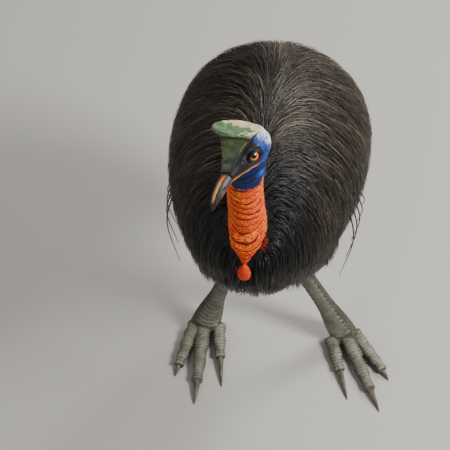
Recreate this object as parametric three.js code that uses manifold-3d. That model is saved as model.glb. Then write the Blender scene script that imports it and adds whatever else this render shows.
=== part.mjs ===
// A life-size northern cassowary standing on both feet with its neck up and its head turned a
// little to its right. Millimetres, +Z up. The bird faces -Y, and +X is its own left side.
import * as THREE from "three";
import { mergeVertices } from "three/addons/utils/BufferGeometryUtils.js";
import Module from "manifold-3d";

const wasm = await Module();
wasm.setup();

const at = (x, y, z) => new THREE.Vector3(x, y, z);
const { degToRad, smoothstep, lerp } = THREE.MathUtils;
const gap = 0.32; // clearance kept between neighbouring pieces

// Driving dimensions

const body = {
  centre: at(0, 0, 764),
  length: 452, // half length, out to the tips of the plumage
  width: 227, // half width at mid length
  rise: 248, // from the axis up to the back
  drop: 218, // from the axis down to the belly
  wider: 0.19, // how much wider the rump is than the breast
  fullness: 0.9, // below 1 makes the breast and the rump blunter
  pitch: degToRad(22), // breast up, rump down
  sag: 95, // how far the plumes of the rump hang below the axis
};
const neck = {
  path: [
    at(0, -300, 880),
    at(-4, -352, 960),
    at(-8, -378, 1060),
    at(-12, -384, 1160),
    at(-10, -386, 1230),
    at(0, -378, 1284),
    at(4, -374, 1316),
  ],
  across: [68, 47, 38, 37, 41, 41, 20], // half widths at the points of the path
  front: [66, 54, 44, 40, 34, 26, 10],
  back: [76, 60, 44, 40, 42, 38, 16],
  folds: 11,
  foldHeight: 1.8,
  blueFrom: 1196, // height where the orange skin ends
};
const collar = { front: 938, back: 1088, depth: 12 }; // plumage that climbs the lower neck
const dewlap = { top: 1045, widths: [34, 36, 29, 14, 7], depth: 17 }; // half widths from the top down
const wattle = { halfWidth: 14, depth: 12, height: 48, top: 936, front: -433 };
const head = {
  centre: at(-16, -414, 1280), // midway between the eyes
  yaw: degToRad(25), // turned to the bird's right
  pitch: degToRad(7), // bill down
  roll: degToRad(12), // left side up
};
const skull = {
  from: -67,
  to: 58,
  across: [26, 41, 42, 38, 29, 20, 14.5], // half widths from the nape to the bill
  above: [10, 25, 32, 30, 24, 16, 10],
  below: [20, 38, 42, 39, 33, 26, 20],
};
const bill = { from: 58, tip: 124, drop: 27, halfWidth: 14, above: 17.5, below: 11.5, mouth: 1.2 };
const eye = {
  radius: 12.5,
  ahead: -3,
  side: 26.5,
  up: 7,
  lid: 2.6,
  forward: degToRad(20), // the opening between the lids faces a little forwards
  rise: degToRad(15), // and up
};
const casque = {
  centre: at(-18, -415, 1287), // it stands a little askew on the head
  yaw: degToRad(19),
  pitch: degToRad(7),
  roll: degToRad(7),
  twist: degToRad(18), // its front face and plate turn to the bird's left
  toe: { ahead: 58, left: -5, half: 9.5, up: 5 }, // its front edge, at the root of the bill
  heel: { ahead: -44, left: 0, half: 22, up: 4 }, // where it grows from the back of the skull
  brow: { ahead: 10, left: 7, half: 31, up: 73 }, // where its front face meets the plate
  rear: { ahead: -42, left: 0, half: 31, up: 42 },
  hollow: 5, // how far its faces curve in
  plate: {
    ahead: -13,
    left: -6,
    up: 60.5,
    half: 49,
    length: 38,
    thick: 6,
    slope: degToRad(32), // it falls to the back
    tilt: degToRad(5), // and its left end stands higher
  },
};
const legs = {
  left: { side: 1, foot: at(205, 76, 34), hock: at(50, 104, 304), knee: at(110, -15, 520), turn: degToRad(26) },
  right: { side: -1, foot: at(-160, 67, 34), hock: at(-64, 112, 316), knee: at(-110, -10, 530), turn: degToRad(1) },
};
const shank = { radii: [22, 27, 23, 20, 19, 19.5, 21, 23, 21], pad: 38, scutes: 11 };
const toes = {
  middle: { length: 178, angle: 0, start: 0, radius: 19, joints: 3, claw: 62, clawRadius: 11.5, scutes: 10 },
  inner: { length: 98, angle: -8, start: -38, radius: 17.5, joints: 2, claw: 84, clawRadius: 11, scutes: 6 },
  outer: { length: 135, angle: 12, start: 24, radius: 17.5, joints: 4, claw: 28, clawRadius: 10, scutes: 8 },
};
const plumes = {
  body: { count: 76, length: 245, half: 47, thick: 8, root: 38, core: 28 },
  neck: { rows: [0.46, 0.28], around: 5, length: 120, half: 32, thick: 5, root: 10, core: 7 },
  thigh: { rows: [0.25, 0.58], around: 4, length: 125, half: 34, thick: 7, root: 16, core: 12 },
};
const wing = { arm: 16, quills: 5, longest: 290, shortest: 190, quillRadius: 2.6 };

// Materials

const finish = (color, roughness) => new THREE.MeshStandardMaterial({ color, roughness, metalness: 0 });
const plumage = finish(0x1b1714, 0.6);
const orangeSkin = finish(0xe8641a, 0.65);
const redSkin = finish(0xd83a22, 0.6);
const blueSkin = finish(0x24408f, 0.6);
const horn = finish(0x55664a, 0.55);
const billHorn = finish(0x3a3026, 0.4);
const eyeball = finish(0xc4480f, 0.08);
const quillHorn = finish(0x0f0d0c, 0.35);
const legScale = finish(0x5d6152, 0.7);
const clawHorn = finish(0x4a4338, 0.45);

// Solids from three.js geometries

// Turns a closed geometry into a solid, whichever way its faces were wound.
function solidOf(geometry) {
  const bare = geometry.clone();
  bare.deleteAttribute("normal");
  bare.deleteAttribute("uv");
  const merged = mergeVertices(bare, 1e-3);
  const vertProperties = merged.attributes.position.array;
  const triVerts = new Uint32Array(merged.index.array);
  const make = () => new wasm.Manifold(new wasm.Mesh({ numProp: 3, vertProperties, triVerts }));
  const solid = make();
  if (solid.volume() > 0) return solid;
  for (let i = 0; i < triVerts.length; i += 3) {
    [triVerts[i + 1], triVerts[i + 2]] = [triVerts[i + 2], triVerts[i + 1]];
  }
  return make();
}

// Moves every vertex of a geometry to where place() says.
function bend(geometry, place) {
  const position = geometry.attributes.position;
  const v = at(0, 0, 0);
  for (let i = 0; i < position.count; i++) {
    const moved = place(v.fromBufferAttribute(position, i));
    position.setXYZ(i, moved.x, moved.y, moved.z);
  }
  return geometry;
}

const join = (solids) => solids.reduce((whole, solid) => whole.add(solid));
const largest = (solid) => solid.decompose().sort((a, b) => b.volume() - a.volume())[0];

// A smooth curve through evenly spaced numbers, read from 0 to 1.
function through(numbers) {
  const curve = new THREE.CatmullRomCurve3(numbers.map((n) => at(n, 0, 0)));
  return (t) => curve.getPoint(THREE.MathUtils.clamp(t, 0, 1)).x;
}

// Radius of an oval with its own side, front and back, at an angle from its front.
function oval(angle, side, front, back) {
  const reach = Math.cos(angle) > 0 ? front : back;
  return 1 / Math.hypot(Math.cos(angle) / reach, Math.sin(angle) / side);
}

// A point beside a curve, at a reach from it and an angle from its front, away from `rear`.
function beside(curve, rear, t, angle, reach) {
  const forward = curve.getTangent(t);
  const front = rear.clone().addScaledVector(forward, -rear.dot(forward)).normalize().negate();
  const side = forward.clone().cross(front);
  const place = curve.getPoint(t).addScaledVector(front, reach * Math.cos(angle));
  return place.addScaledVector(side, reach * Math.sin(angle));
}

// A tube along a curve with its own radius at each place and angle. Without levels its rings
// are evenly spaced.
function tube({ path, rear, radius, around, along, levels }) {
  const curve = new THREE.CatmullRomCurve3(path);
  const rings = levels ? levels.length - 1 : along;
  return bend(new THREE.CylinderGeometry(1, 1, 1, around, rings), (v) => {
    const ring = (v.y + 0.5) * rings;
    const t = levels ? levels[Math.round(ring)] : ring / rings;
    const angle = Math.atan2(v.x, v.z);
    return beside(curve, rear, t, angle, Math.hypot(v.x, v.z) * radius(t, angle));
  });
}

// A block between two levels of x and y whose bottom and top are sloping planes.
function slab(x, y, bottom, top) {
  return solidOf(
    bend(new THREE.BoxGeometry(1, 1, 1), (v) => {
      const place = at(lerp(x[0], x[1], v.x + 0.5), lerp(y[0], y[1], v.y + 0.5), 0);
      return place.setZ(v.z > 0 ? top(place) : bottom(place));
    }),
  );
}

// Plumes

let seed = 11;
// The next of a fixed row of numbers between 0 and 1.
function draw() {
  seed = (seed * 16807) % 2147483647;
  return seed / 2147483647;
}

// A flat lock of plumes that tapers to its tips along a line of places, ridged on its outside.
function lockSolid(line, half, thick) {
  const last = line.length - 1;
  const swell = through([0.7, 1, 0.95, 0.6, 0.1]);
  return solidOf(
    bend(new THREE.ConeGeometry(1, 1, 3, last), (v) => {
      const t = v.y + 0.5;
      const { place, out, side } = line[Math.round(t * last)];
      const share = t < 0.999 ? swell(t) / (1 - t) : 0;
      return place.clone().addScaledVector(side, v.x * share * half).addScaledVector(out, v.z * share * thick);
    }),
  );
}

// The line of a lock on surface(u, v, depth). It starts `root` deep at u and v, runs along u
// turned by lie(u, v) towards v, and rises to its tips. Past `free` it hangs by its own weight.
function lockLine({ surface, u, v, lie, free, length, root, tip }) {
  const line = [];
  const steps = 4;
  const small = 0.01;
  const run = at(0, 0, 0);
  let place = null;
  for (let i = 0; i <= steps; i++) {
    const depth = lerp(root, tip, 1 - Math.pow(1 - i / steps, 2.2));
    const here = surface(u, v, depth);
    const out = surface(u, v, depth - 1).sub(here);
    if (u < free || i === 0) {
      const alongU = surface(u + small, v, depth).sub(here);
      const alongV = surface(u, v + small, depth).sub(here);
      const turned = lie(u, v);
      const step = (length / steps) * small;
      place = here;
      run.copy(alongU).setLength(Math.cos(turned)).addScaledVector(alongV.clone().normalize(), Math.sin(turned));
      u += (step * Math.cos(turned)) / alongU.length();
      v += (step * Math.sin(turned)) / alongV.length();
    } else {
      run.add(at(0, 0, -0.3));
      place = place.clone().addScaledVector(run.normalize(), length / steps);
    }
    const side = run.clone().cross(out).normalize();
    line.push({ place, out: side.clone().cross(run).normalize(), side });
  }
  return line;
}

// Body

// A place by the body's own axes: to its left, towards the rump, and up.
function onBody(across, along, up) {
  const cos = Math.cos(body.pitch);
  const sin = Math.sin(body.pitch);
  return at(across, along * cos + up * sin, up * cos - along * sin).add(body.centre);
}

// A point of the body's surface, `depth` inside the tips of the plumage. `turn` runs from the
// breast, 0, to the rump, PI, and `roll` from the back, 0, round the left side to the belly, PI.
function bodyPoint(turn, roll, depth) {
  const ring = Math.pow(Math.max(0, Math.sin(turn)), body.fullness);
  const ahead = Math.cos(turn);
  const along = -(body.length - depth) * ahead;
  const across = (body.width - depth) * ring * (1 - body.wider * ahead) * Math.sin(roll);
  const reach = Math.cos(roll) > 0 ? body.rise : body.drop;
  const up = (reach - depth) * ring * Math.cos(roll) - body.sag * smoothstep(-ahead, 0.35, 1.1);
  return onBody(across, along, up);
}

function bodySolid(depth) {
  const ball = new THREE.SphereGeometry(1, 20, 12);
  return solidOf(bend(ball, (v) => bodyPoint(Math.acos(v.y), Math.atan2(v.x, v.z), depth)));
}

// Locks all over the body. They fall away to both sides from a parting along the back.
function bodyLocks() {
  const { count, length, half, thick, root } = plumes.body;
  const locks = [];
  for (let i = 0; i < count; i++) {
    const turn = Math.acos(1 - (2 * (i + 0.5)) / count);
    const roll = ((i * 2.39996) % (2 * Math.PI)) - Math.PI;
    const stray = 0.3 * (draw() - 0.5);
    const lie = (u, v) => {
      const away = Math.abs(v);
      const fall = smoothstep(away, 0, 1) * (1 - smoothstep(away, 1.5, 2.7)) * smoothstep(u, 0.1, 0.8);
      return Math.sign(v) * fall * (1 - 0.6 * smoothstep(u, 1.9, 2.6)) + stray;
    };
    const start = { surface: bodyPoint, u: turn, v: roll, lie, free: 2.7, root };
    const line = lockLine({ ...start, length: length * (0.85 + 0.3 * draw()), tip: 2 - 18 * draw() });
    if (turn > 0.5 && turn < 2.72) locks.push(lockSolid(line, half * (0.85 + 0.3 * draw()), thick));
  }
  return locks;
}

// Everything behind a cone that opens towards the rump.
function rumpZone(grow) {
  return solidOf(
    bend(new THREE.CylinderGeometry(1, 1, 1, 32, 1), (v) => {
      const back = v.y + 0.5;
      const reach = lerp(150 + grow, 450 + grow, back);
      return onBody(v.x * reach, lerp(190 - grow, 600, back), v.z * reach - 20);
    }),
  );
}

// Everything of a leg that shows below the belly.
function thighZone(side, grow) {
  const x = side > 0 ? [4 - grow, 300] : [-300, -4 + grow];
  const border = (v) => 505 + 0.35 * Math.abs(v.x) + grow;
  return slab(x, [-260 - grow, 235 + grow], () => 200, border);
}

// Everything of the lower neck above the shoulders.
function shoulderZone(grow) {
  const border = (v) => 925 + 0.43 * (v.y + 420) - grow;
  return slab([-200, 200], [-600, -200], border, () => 1500);
}

// Neck, dewlap and wattle

const neckAcross = through(neck.across);
const neckFront = through(neck.front);
const neckBack = through(neck.back);
const neckRadius = (t, angle) => oval(angle, neckAcross(t), neckFront(t), neckBack(t));

function neckSolid(levels, extra) {
  const radius = (t, angle) => neckRadius(t, angle) + extra(t);
  return solidOf(tube({ path: neck.path, rear: at(0, 1, 0), around: 14, levels, radius }));
}

// Locks in rings round the lower neck, that lie down it.
function neckLocks() {
  const { rows, around, length, half, thick, root } = plumes.neck;
  const curve = new THREE.CatmullRomCurve3(neck.path);
  const surface = (u, v, depth) =>
    beside(curve, at(0, 1, 0), 1 - u, v, neckRadius(1 - u, v) + collar.depth + 2 - depth);
  return rows.flatMap((row, r) =>
    Array.from({ length: around }, (_, i) => {
      const v = ((i + r / 2) / around) * 2 * Math.PI;
      const start = { surface, u: 1 - row, v, lie: () => 0.4 * (draw() - 0.5), free: 0.98, root };
      const line = lockLine({ ...start, length: length * (0.85 + 0.3 * draw()), tip: 3 * draw() });
      return lockSolid(line, half, thick);
    }),
  );
}

// Rings along the neck: a groove and a crest for each slack fold of the skin, unevenly spaced.
function foldLevels() {
  const levels = [0, 0.08, 0.14];
  for (let i = 0; i < neck.folds; i++) {
    const uneven = 0.3 * Math.sin(i * 2.4);
    levels.push(lerp(0.17, 0.68, (i + 0.12 * uneven) / neck.folds), lerp(0.17, 0.68, (i + 0.5 + uneven) / neck.folds));
  }
  return [...levels, 0.7, 0.76, 0.83, 0.89, 0.94, 0.98, 1];
}

const neckLevels = foldLevels();
// A crest's height, or a groove's depth.
function fold(t) {
  const ring = neckLevels.indexOf(t) - 3;
  return ring < 0 || ring >= 2 * neck.folds ? 0 : neck.foldHeight * (ring % 2 ? 1 : -1);
}

// Everything above the sloping border where the bare skin meets the plumage of the lower neck.
function bareZone(grow) {
  const border = (v) => lerp(collar.front, collar.back, (v.y + 430) / 100) - grow / 0.6;
  return slab([-200, 200], [-600, -200], border, () => 1500);
}

// Everything above the border between the orange and the blue skin.
function blueZone(grow) {
  const border = (v) => neck.blueFrom + 0.15 * (v.y + 415) - grow;
  return slab([-200, 200], [-600, -200], border, () => 1500);
}

const dewlapWidth = through(dewlap.widths);

function dewlapSolid(grow) {
  return solidOf(
    bend(new THREE.SphereGeometry(1, 12, 10), (v) => {
      const down = (1 - v.y) / 2;
      const wide = (dewlapWidth(down) + grow) * v.x;
      const y = lerp(-408, wattle.front + 4, down) + (dewlap.depth * lerp(1, 0.6, down) + grow) * v.z;
      return at(wide - 6, y, lerp(dewlap.top + grow, wattle.top - grow, down));
    }),
  );
}

function wattleSolid(grow) {
  return solidOf(
    bend(new THREE.SphereGeometry(1, 12, 10), (v) => {
      const fuller = 1 - 0.28 * v.y;
      const x = (wattle.halfWidth + grow) * v.x * fuller - 6;
      const y = wattle.front + (wattle.depth + grow) * v.z * fuller;
      return at(x, y, wattle.top + 8 + (wattle.height / 2 + grow) * (v.y - 1));
    }),
  );
}

// Head

// The turn and place of the head, or of the casque.
function poseOf({ centre, yaw, pitch, roll }) {
  return new THREE.Matrix4().makeRotationFromEuler(new THREE.Euler(pitch, -roll, -yaw, "ZXY")).setPosition(centre);
}

const headTurn = poseOf(head);
// A place on the head: ahead of the eyes, to the bird's left, and up.
const onHead = (ahead, left, up) => at(left, -ahead, up).applyMatrix4(headTurn);

const skullAcross = through(skull.across);
const skullAbove = through(skull.above);
const skullBelow = through(skull.below);

// A point of the skull's skin: t from the nape to the bill, angle from the crown to the throat.
function skullPoint(t, angle, share, grow) {
  const reach = share * (oval(angle, skullAcross(t), skullAbove(t), skullBelow(t)) + grow);
  return onHead(lerp(skull.from, skull.to, t), reach * Math.sin(angle), reach * Math.cos(angle));
}

function skullSolid(grow) {
  return solidOf(
    bend(new THREE.CylinderGeometry(1, 1, 1, 14, 9), (v) =>
      skullPoint(v.y + 0.5, Math.atan2(v.x, v.z), Math.hypot(v.x, v.z), grow),
    ),
  );
}

// One half of the bill: `part` is 1 above the mouth and -1 below it.
function billSolid(part) {
  const tip = part > 0 ? bill.tip : bill.tip - 7;
  const tall = part > 0 ? bill.above : bill.below;
  const half = part > 0 ? bill.halfWidth : 0.86 * bill.halfWidth;
  return solidOf(
    bend(new THREE.CylinderGeometry(1, 1, 1, 12, 7), (v) => {
      const ahead = lerp(bill.from + gap, tip, v.y + 0.5);
      const share = (ahead - bill.from) / (bill.tip - bill.from);
      const taper = Math.sqrt(1 - 0.97 * Math.pow(v.y + 0.5, 2.4));
      const mouthLine = lerp(-9, -bill.drop, share * share);
      const up = mouthLine + part * (bill.mouth / 2 + Math.max(0, v.z * part) * tall * taper);
      return onHead(ahead, v.x * half * taper, up);
    }),
  );
}

function nostril(side) {
  const slot = new THREE.SphereGeometry(1, 6, 4);
  return solidOf(bend(slot, (v) => onHead(88 + 7 * v.z, side * 11 + 4 * v.x, -5 + 2.2 * v.y - 1.1 * v.z)));
}

function eyeSolid(side, grow) {
  const ball = new THREE.SphereGeometry(eye.radius + grow, 12, 8);
  return solidOf(bend(ball, (v) => onHead(eye.ahead + v.z, side * eye.side + v.x, eye.up + v.y)));
}

// A place by the eye's own axes: forward, out between the lids, and up.
function onEye(side, forward, out, up) {
  const cos = Math.cos(eye.rise);
  const sin = Math.sin(eye.rise);
  const outward = out * cos - up * sin;
  return onHead(
    eye.ahead + forward * Math.cos(eye.forward) + outward * Math.sin(eye.forward),
    side * (eye.side - forward * Math.sin(eye.forward) + outward * Math.cos(eye.forward)),
    eye.up + out * sin + up * cos,
  );
}

function lidSolid(side) {
  const ring = new THREE.TorusGeometry(12.3, eye.lid, 4, 12);
  return solidOf(bend(ring, (v) => onEye(side, v.x * 1.1, 8 + v.z, v.y * 0.9)));
}

function earCup(side) {
  const place = { t: 0.27, angle: side * 1.72 };
  const centre = skullPoint(place.t, place.angle, 1, 1);
  return solidOf(new THREE.SphereGeometry(6.5, 8, 5).translate(centre.x, centre.y, centre.z));
}

// The groove of the mouth from the bill back to below the eye.
function mouthGroove(side) {
  const path = [1.02, 0.88, 0.72, 0.56].map((t, i) => skullPoint(t, side * (1.95 - 0.02 * i), 1, 0));
  return solidOf(tube({ path, rear: at(0, 0, 1), around: 4, along: 4, radius: () => 1.5 }));
}

const casqueTurn = poseOf(casque);
// A place on the casque, by its own axes.
const onCasque = (ahead, left, up) => at(left, -ahead, up).applyMatrix4(casqueTurn);

function casqueWedge(grow) {
  const { toe, heel, brow, rear, hollow, twist, plate } = casque;
  return solidOf(
    bend(new THREE.BoxGeometry(1, 1, 1, 4, 5, 3), (v) => {
      const up = v.y + 0.5;
      const back = v.z + 0.5;
      const curve = hollow * Math.sin(Math.PI * up);
      const part = (name) => lerp(lerp(toe[name], heel[name], back), lerp(brow[name], rear[name], back), up);
      const left = v.x * 2 * (part("half") - curve * 0.7 + grow);
      const hollowed = back === 0 ? curve * (1 - 4 * v.x * v.x) - grow : 0;
      const turned = left * Math.tan(twist) * (1 - back);
      const ahead = part("ahead") - hollowed - (back === 1 ? grow : 0) - turned;
      const rise = left * Math.tan(plate.tilt) - turned * Math.tan(plate.slope);
      return onCasque(ahead, part("left") + left, part("up") + rise * up);
    }),
  );
}

function casquePlate() {
  const { ahead, left, up, half, length, thick, slope, tilt } = casque.plate;
  return solidOf(
    bend(new THREE.SphereGeometry(1, 20, 5), (v) => {
      const ring = Math.hypot(v.x, v.z);
      const blunt = ring > 0 ? Math.pow(ring, 0.35) / ring : 0;
      const long = v.z * blunt * length;
      const wide = v.x * blunt * half;
      const forward = long * Math.cos(casque.twist) - wide * Math.sin(casque.twist);
      const across = wide * Math.cos(casque.twist) + long * Math.sin(casque.twist);
      const rise = v.y * thick;
      return onCasque(
        ahead + forward * Math.cos(slope) - rise * Math.sin(slope),
        left + across,
        up + forward * Math.sin(slope) + rise * Math.cos(slope) + across * Math.tan(tilt),
      );
    }),
  );
}

// Legs

const thighRear = at(0, 1, 0.4);
const thighSize = through([96, 86, 66, 47, 34]);
const thighRadius = (t, angle) => thighSize(t) * (0.92 + 0.08 * Math.cos(2 * angle));

function thighPath(leg) {
  const hip = leg.knee.clone().add(at(-leg.side * 20, 35, 90));
  return [hip, leg.knee, leg.knee.clone().lerp(leg.hock, 0.5), leg.knee.clone().lerp(leg.hock, 0.94)];
}

function thighSolid(leg, depth) {
  const radius = (t, angle) => thighRadius(t, angle) - depth;
  return solidOf(tube({ path: thighPath(leg), rear: thighRear, around: 10, along: 5, radius }));
}

// Locks in rings round the thigh, that lie down it.
function thighLocks(leg) {
  const { rows, around, length, half, thick, root } = plumes.thigh;
  const curve = new THREE.CatmullRomCurve3(thighPath(leg));
  const surface = (u, v, depth) => beside(curve, thighRear, Math.min(u, 1), v, thighRadius(u, v) - depth);
  return rows.flatMap((row, r) =>
    Array.from({ length: around }, (_, i) => {
      const v = ((i + r / 2) / around) * 2 * Math.PI;
      const start = { surface, u: row, v, lie: () => 0.4 * (draw() - 0.5), free: 0.93, root };
      const line = lockLine({ ...start, length: length * (0.85 + 0.3 * draw()), tip: 4 * draw() });
      return lockSolid(line, half * lerp(1.1, 0.7, row), thick);
    }),
  );
}

// Rings for a row of overlapping scutes, two to each plate.
function scuteLevels(count, from, to) {
  const levels = [0];
  for (let i = 0; i < count; i++) {
    levels.push(lerp(from, to, (i + 0.06) / count), lerp(from, to, (i + 0.94) / count));
  }
  levels.push(1);
  return levels;
}

// A solid flattened where it would sink into the floor.
const onFloor = (geometry) => solidOf(bend(geometry, (v) => v.setZ(Math.max(v.z, 0))));

// Each plate stands highest at its upper ring.
const scuteRise = (levels, t, height) => (t > 0 && t < 1 && levels.indexOf(t) % 2 === 1 ? height : 0);

function shankSolid(leg, grow) {
  const levels = scuteLevels(shank.scutes, 0.17, 0.93);
  const size = through(shank.radii);
  const top = leg.foot.clone().lerp(leg.hock, 1.06 + grow / 300);
  const ankle = leg.foot.clone().setZ(16);
  const geometry = tube({
    path: [top, leg.hock, leg.hock.clone().lerp(leg.foot, 0.55), ankle],
    rear: at(0, 1, 0.1),
    around: 10,
    levels,
    radius: (t, angle) => {
      const plate = Math.cos(angle) > 0.1 ? scuteRise(levels, t, 1.8) : 0;
      const wide = lerp(size(t), shank.pad, smoothstep(t, 0.7, 0.97));
      return oval(angle, wide, size(t) * 1.15, size(t) * 1.15) + plate + grow;
    },
  });
  return onFloor(geometry);
}

const toeAngle = (leg, toe) => leg.turn + leg.side * degToRad(toe.angle);
const toeAxis = (leg, toe) => at(Math.sin(toeAngle(leg, toe)), -Math.cos(toeAngle(leg, toe)), 0);

// A place along a toe, at its own height, as a share of its length.
function toePlace(leg, toe, share, height) {
  const across = leg.side * toe.start;
  const start = at(Math.cos(leg.turn), Math.sin(leg.turn), 0).multiplyScalar(across).add(leg.foot);
  return start.addScaledVector(toeAxis(leg, toe), toe.length * share).setZ(height);
}

function toeSolid(leg, toe, grow) {
  const levels = scuteLevels(toe.scutes, 0.12, 0.97);
  const thick = (t) => toe.radius * lerp(1.08, 0.74, t);
  const geometry = tube({
    path: [0, 1 / 3, 2 / 3, 1 + grow / toe.length].map((share) => toePlace(leg, toe, share, 0.8 * thick(share))),
    rear: at(0, 0, -1),
    around: 10,
    levels,
    radius: (t, angle) => {
      const knuckle = 0.07 * Math.cos(t * toe.joints * 2 * Math.PI);
      const plate = Math.cos(angle) > 0.25 ? scuteRise(levels, t, 1.6) : 0;
      return (thick(t) + toe.radius * knuckle) * (1 - 0.25 * smoothstep(t, 0.97, 1)) + plate + grow;
    },
  });
  return onFloor(geometry);
}

function clawSolid(leg, toe) {
  const way = toeAxis(leg, toe);
  const across = at(way.y, -way.x, 0);
  return solidOf(
    bend(new THREE.ConeGeometry(1, 1, 8, 5), (v) => {
      const t = v.y + 0.5;
      const place = toePlace(leg, toe, 1, 0).addScaledVector(way, t * (toe.claw + 12) - 12);
      const swell = t < 0.999 ? toe.clawRadius * Math.pow(1 - t, -0.32) : 0;
      const height = lerp(0.62 * toe.radius, 2.5, Math.pow(t, 1.4)) + v.z * swell;
      return place.addScaledVector(across, v.x * swell * 0.85).setZ(Math.max(height, 0.6));
    }),
  );
}

// Wings

// A stub of a wing on the flank, with long bare quills that curve down from it.
function wingSolid(side, grow) {
  const place = (turn, roll, depth) => bodyPoint(turn, side * roll, depth);
  const arm = solidOf(
    tube({
      path: [place(1.05, 1.2, 30), place(1.25, 1.4, 12), place(1.5, 1.6, 22)],
      rear: at(0, 0, -1),
      around: 8,
      along: 5,
      radius: (t) => wing.arm * Math.sqrt(1 - 0.95 * Math.pow(2 * t - 1, 4)) + grow,
    }),
  );
  const quills = [];
  for (let i = 0; i < wing.quills; i++) {
    const share = i / (wing.quills - 1);
    const root = place(lerp(1.2, 1.45, share), lerp(1.4, 1.58, share), 12);
    const length = lerp(wing.longest, wing.shortest, share);
    const middle = root.clone().add(at(side * lerp(34, 26, share), lerp(-22, 30, share), -length * 0.45));
    const tip = root.clone().add(at(side * lerp(8, 20, share), lerp(-20, 90, share), -length));
    const radius = (t) => lerp(wing.quillRadius, 0.6, t) + grow;
    quills.push(solidOf(tube({ path: [root, middle, tip], rear: at(side, 0, 0), around: 3, along: 4, radius })));
  }
  return join([arm, ...quills]);
}

// Assembly

const model = new THREE.Group();

// Adds one node, made of the biggest piece of its solid.
function add(name, solid, material) {
  const { vertProperties, triVerts } = largest(solid).getMesh();
  const geometry = new THREE.BufferGeometry();
  geometry.setAttribute("position", new THREE.BufferAttribute(new Float32Array(vertProperties), 3));
  geometry.setIndex(new THREE.BufferAttribute(new Uint32Array(triVerts), 1));
  geometry.computeVertexNormals();
  const mesh = new THREE.Mesh(geometry, material);
  mesh.name = name;
  model.add(mesh);
}

// The feathered whole of the bird, before it is parted into nodes.
function plumedSolid() {
  const thighs = Object.values(legs).flatMap((leg) => [thighSolid(leg, plumes.thigh.core), ...thighLocks(leg)]);
  const climbing = neckSolid([0, 0.15, 0.3, 0.45, 0.6, 1], () => collar.depth + 2 - plumes.neck.core);
  const climber = join([climbing, ...neckLocks()]).subtract(bareZone(gap));
  return join([bodySolid(plumes.body.core), ...bodyLocks(), climber, ...thighs]);
}

const skinned = neckSolid(neckLevels, fold);
const skullWhole = skullSolid(0).add(skinned.intersect(blueZone(0)));
const skullGrown = skullSolid(gap).add(neckSolid(neckLevels, (t) => fold(t) + gap));
const bare = skinned.intersect(bareZone(0)).subtract(blueZone(gap)).add(dewlapSolid(0));

let plumed = plumedSolid().subtract(dewlapSolid(gap)).subtract(wattleSolid(gap));
let face = skullWhole;
let upperBill = billSolid(1);
for (const [name, leg] of Object.entries(legs)) {
  const side = leg.side;
  face = face.add(lidSolid(side)).subtract(earCup(side)).subtract(eyeSolid(side, gap)).subtract(mouthGroove(side));
  upperBill = upperBill.subtract(nostril(side));
  plumed = plumed.subtract(wingSolid(side, gap)).subtract(shankSolid(leg, 1.5 * gap));
  add("eye_" + name, eyeSolid(side, 0), eyeball);
  add("wing_" + name, wingSolid(side, 0), quillHorn);
  let taken = null;
  for (const kind of ["middle", "inner", "outer"]) {
    const toe = toes[kind];
    const grown = toeSolid(leg, toe, gap);
    add("claw_" + kind + "_" + name, clawSolid(leg, toe).subtract(grown), clawHorn);
    add("toe_" + kind + "_" + name, taken ? toeSolid(leg, toe, 0).subtract(taken) : toeSolid(leg, toe, 0), legScale);
    taken = taken ? taken.add(grown) : grown;
  }
  add("shank_" + name, shankSolid(leg, 0).subtract(taken), legScale);
}

const casqueWhole = casqueWedge(0).add(casquePlate());
add("casque", casqueWhole.subtract(skullGrown), horn);
add("bill_upper", upperBill.subtract(casqueWedge(gap)), billHorn);
add("bill_lower", billSolid(-1), billHorn);
add("head", face, blueSkin);
add("neck", bare.subtract(skullSolid(gap)).subtract(wattleSolid(gap)), orangeSkin);
add("wattle", wattleSolid(0), redSkin);

add("neck_base", plumed.intersect(shoulderZone(0)), plumage);
add("tail", plumed.intersect(rumpZone(0)), plumage);
let trunk = plumed.subtract(shoulderZone(gap)).subtract(rumpZone(gap));
for (const [name, leg] of Object.entries(legs)) {
  add("thigh_" + name, plumed.intersect(thighZone(leg.side, 0)).subtract(rumpZone(gap)), plumage);
  trunk = trunk.subtract(thighZone(leg.side, gap));
}
add("torso", trunk, plumage);

// The origin is the middle of the part's box, on the floor.
model.updateMatrixWorld(true);
const box = new THREE.Box3().setFromObject(model);
model.position.set(-(box.min.x + box.max.x) / 2, -(box.min.y + box.max.y) / 2, -box.min.z);

export default model;
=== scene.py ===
import math

import bmesh
import bpy
import numpy as np
from mathutils import Matrix, Vector, noise
from mathutils.kdtree import KDTree


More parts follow.
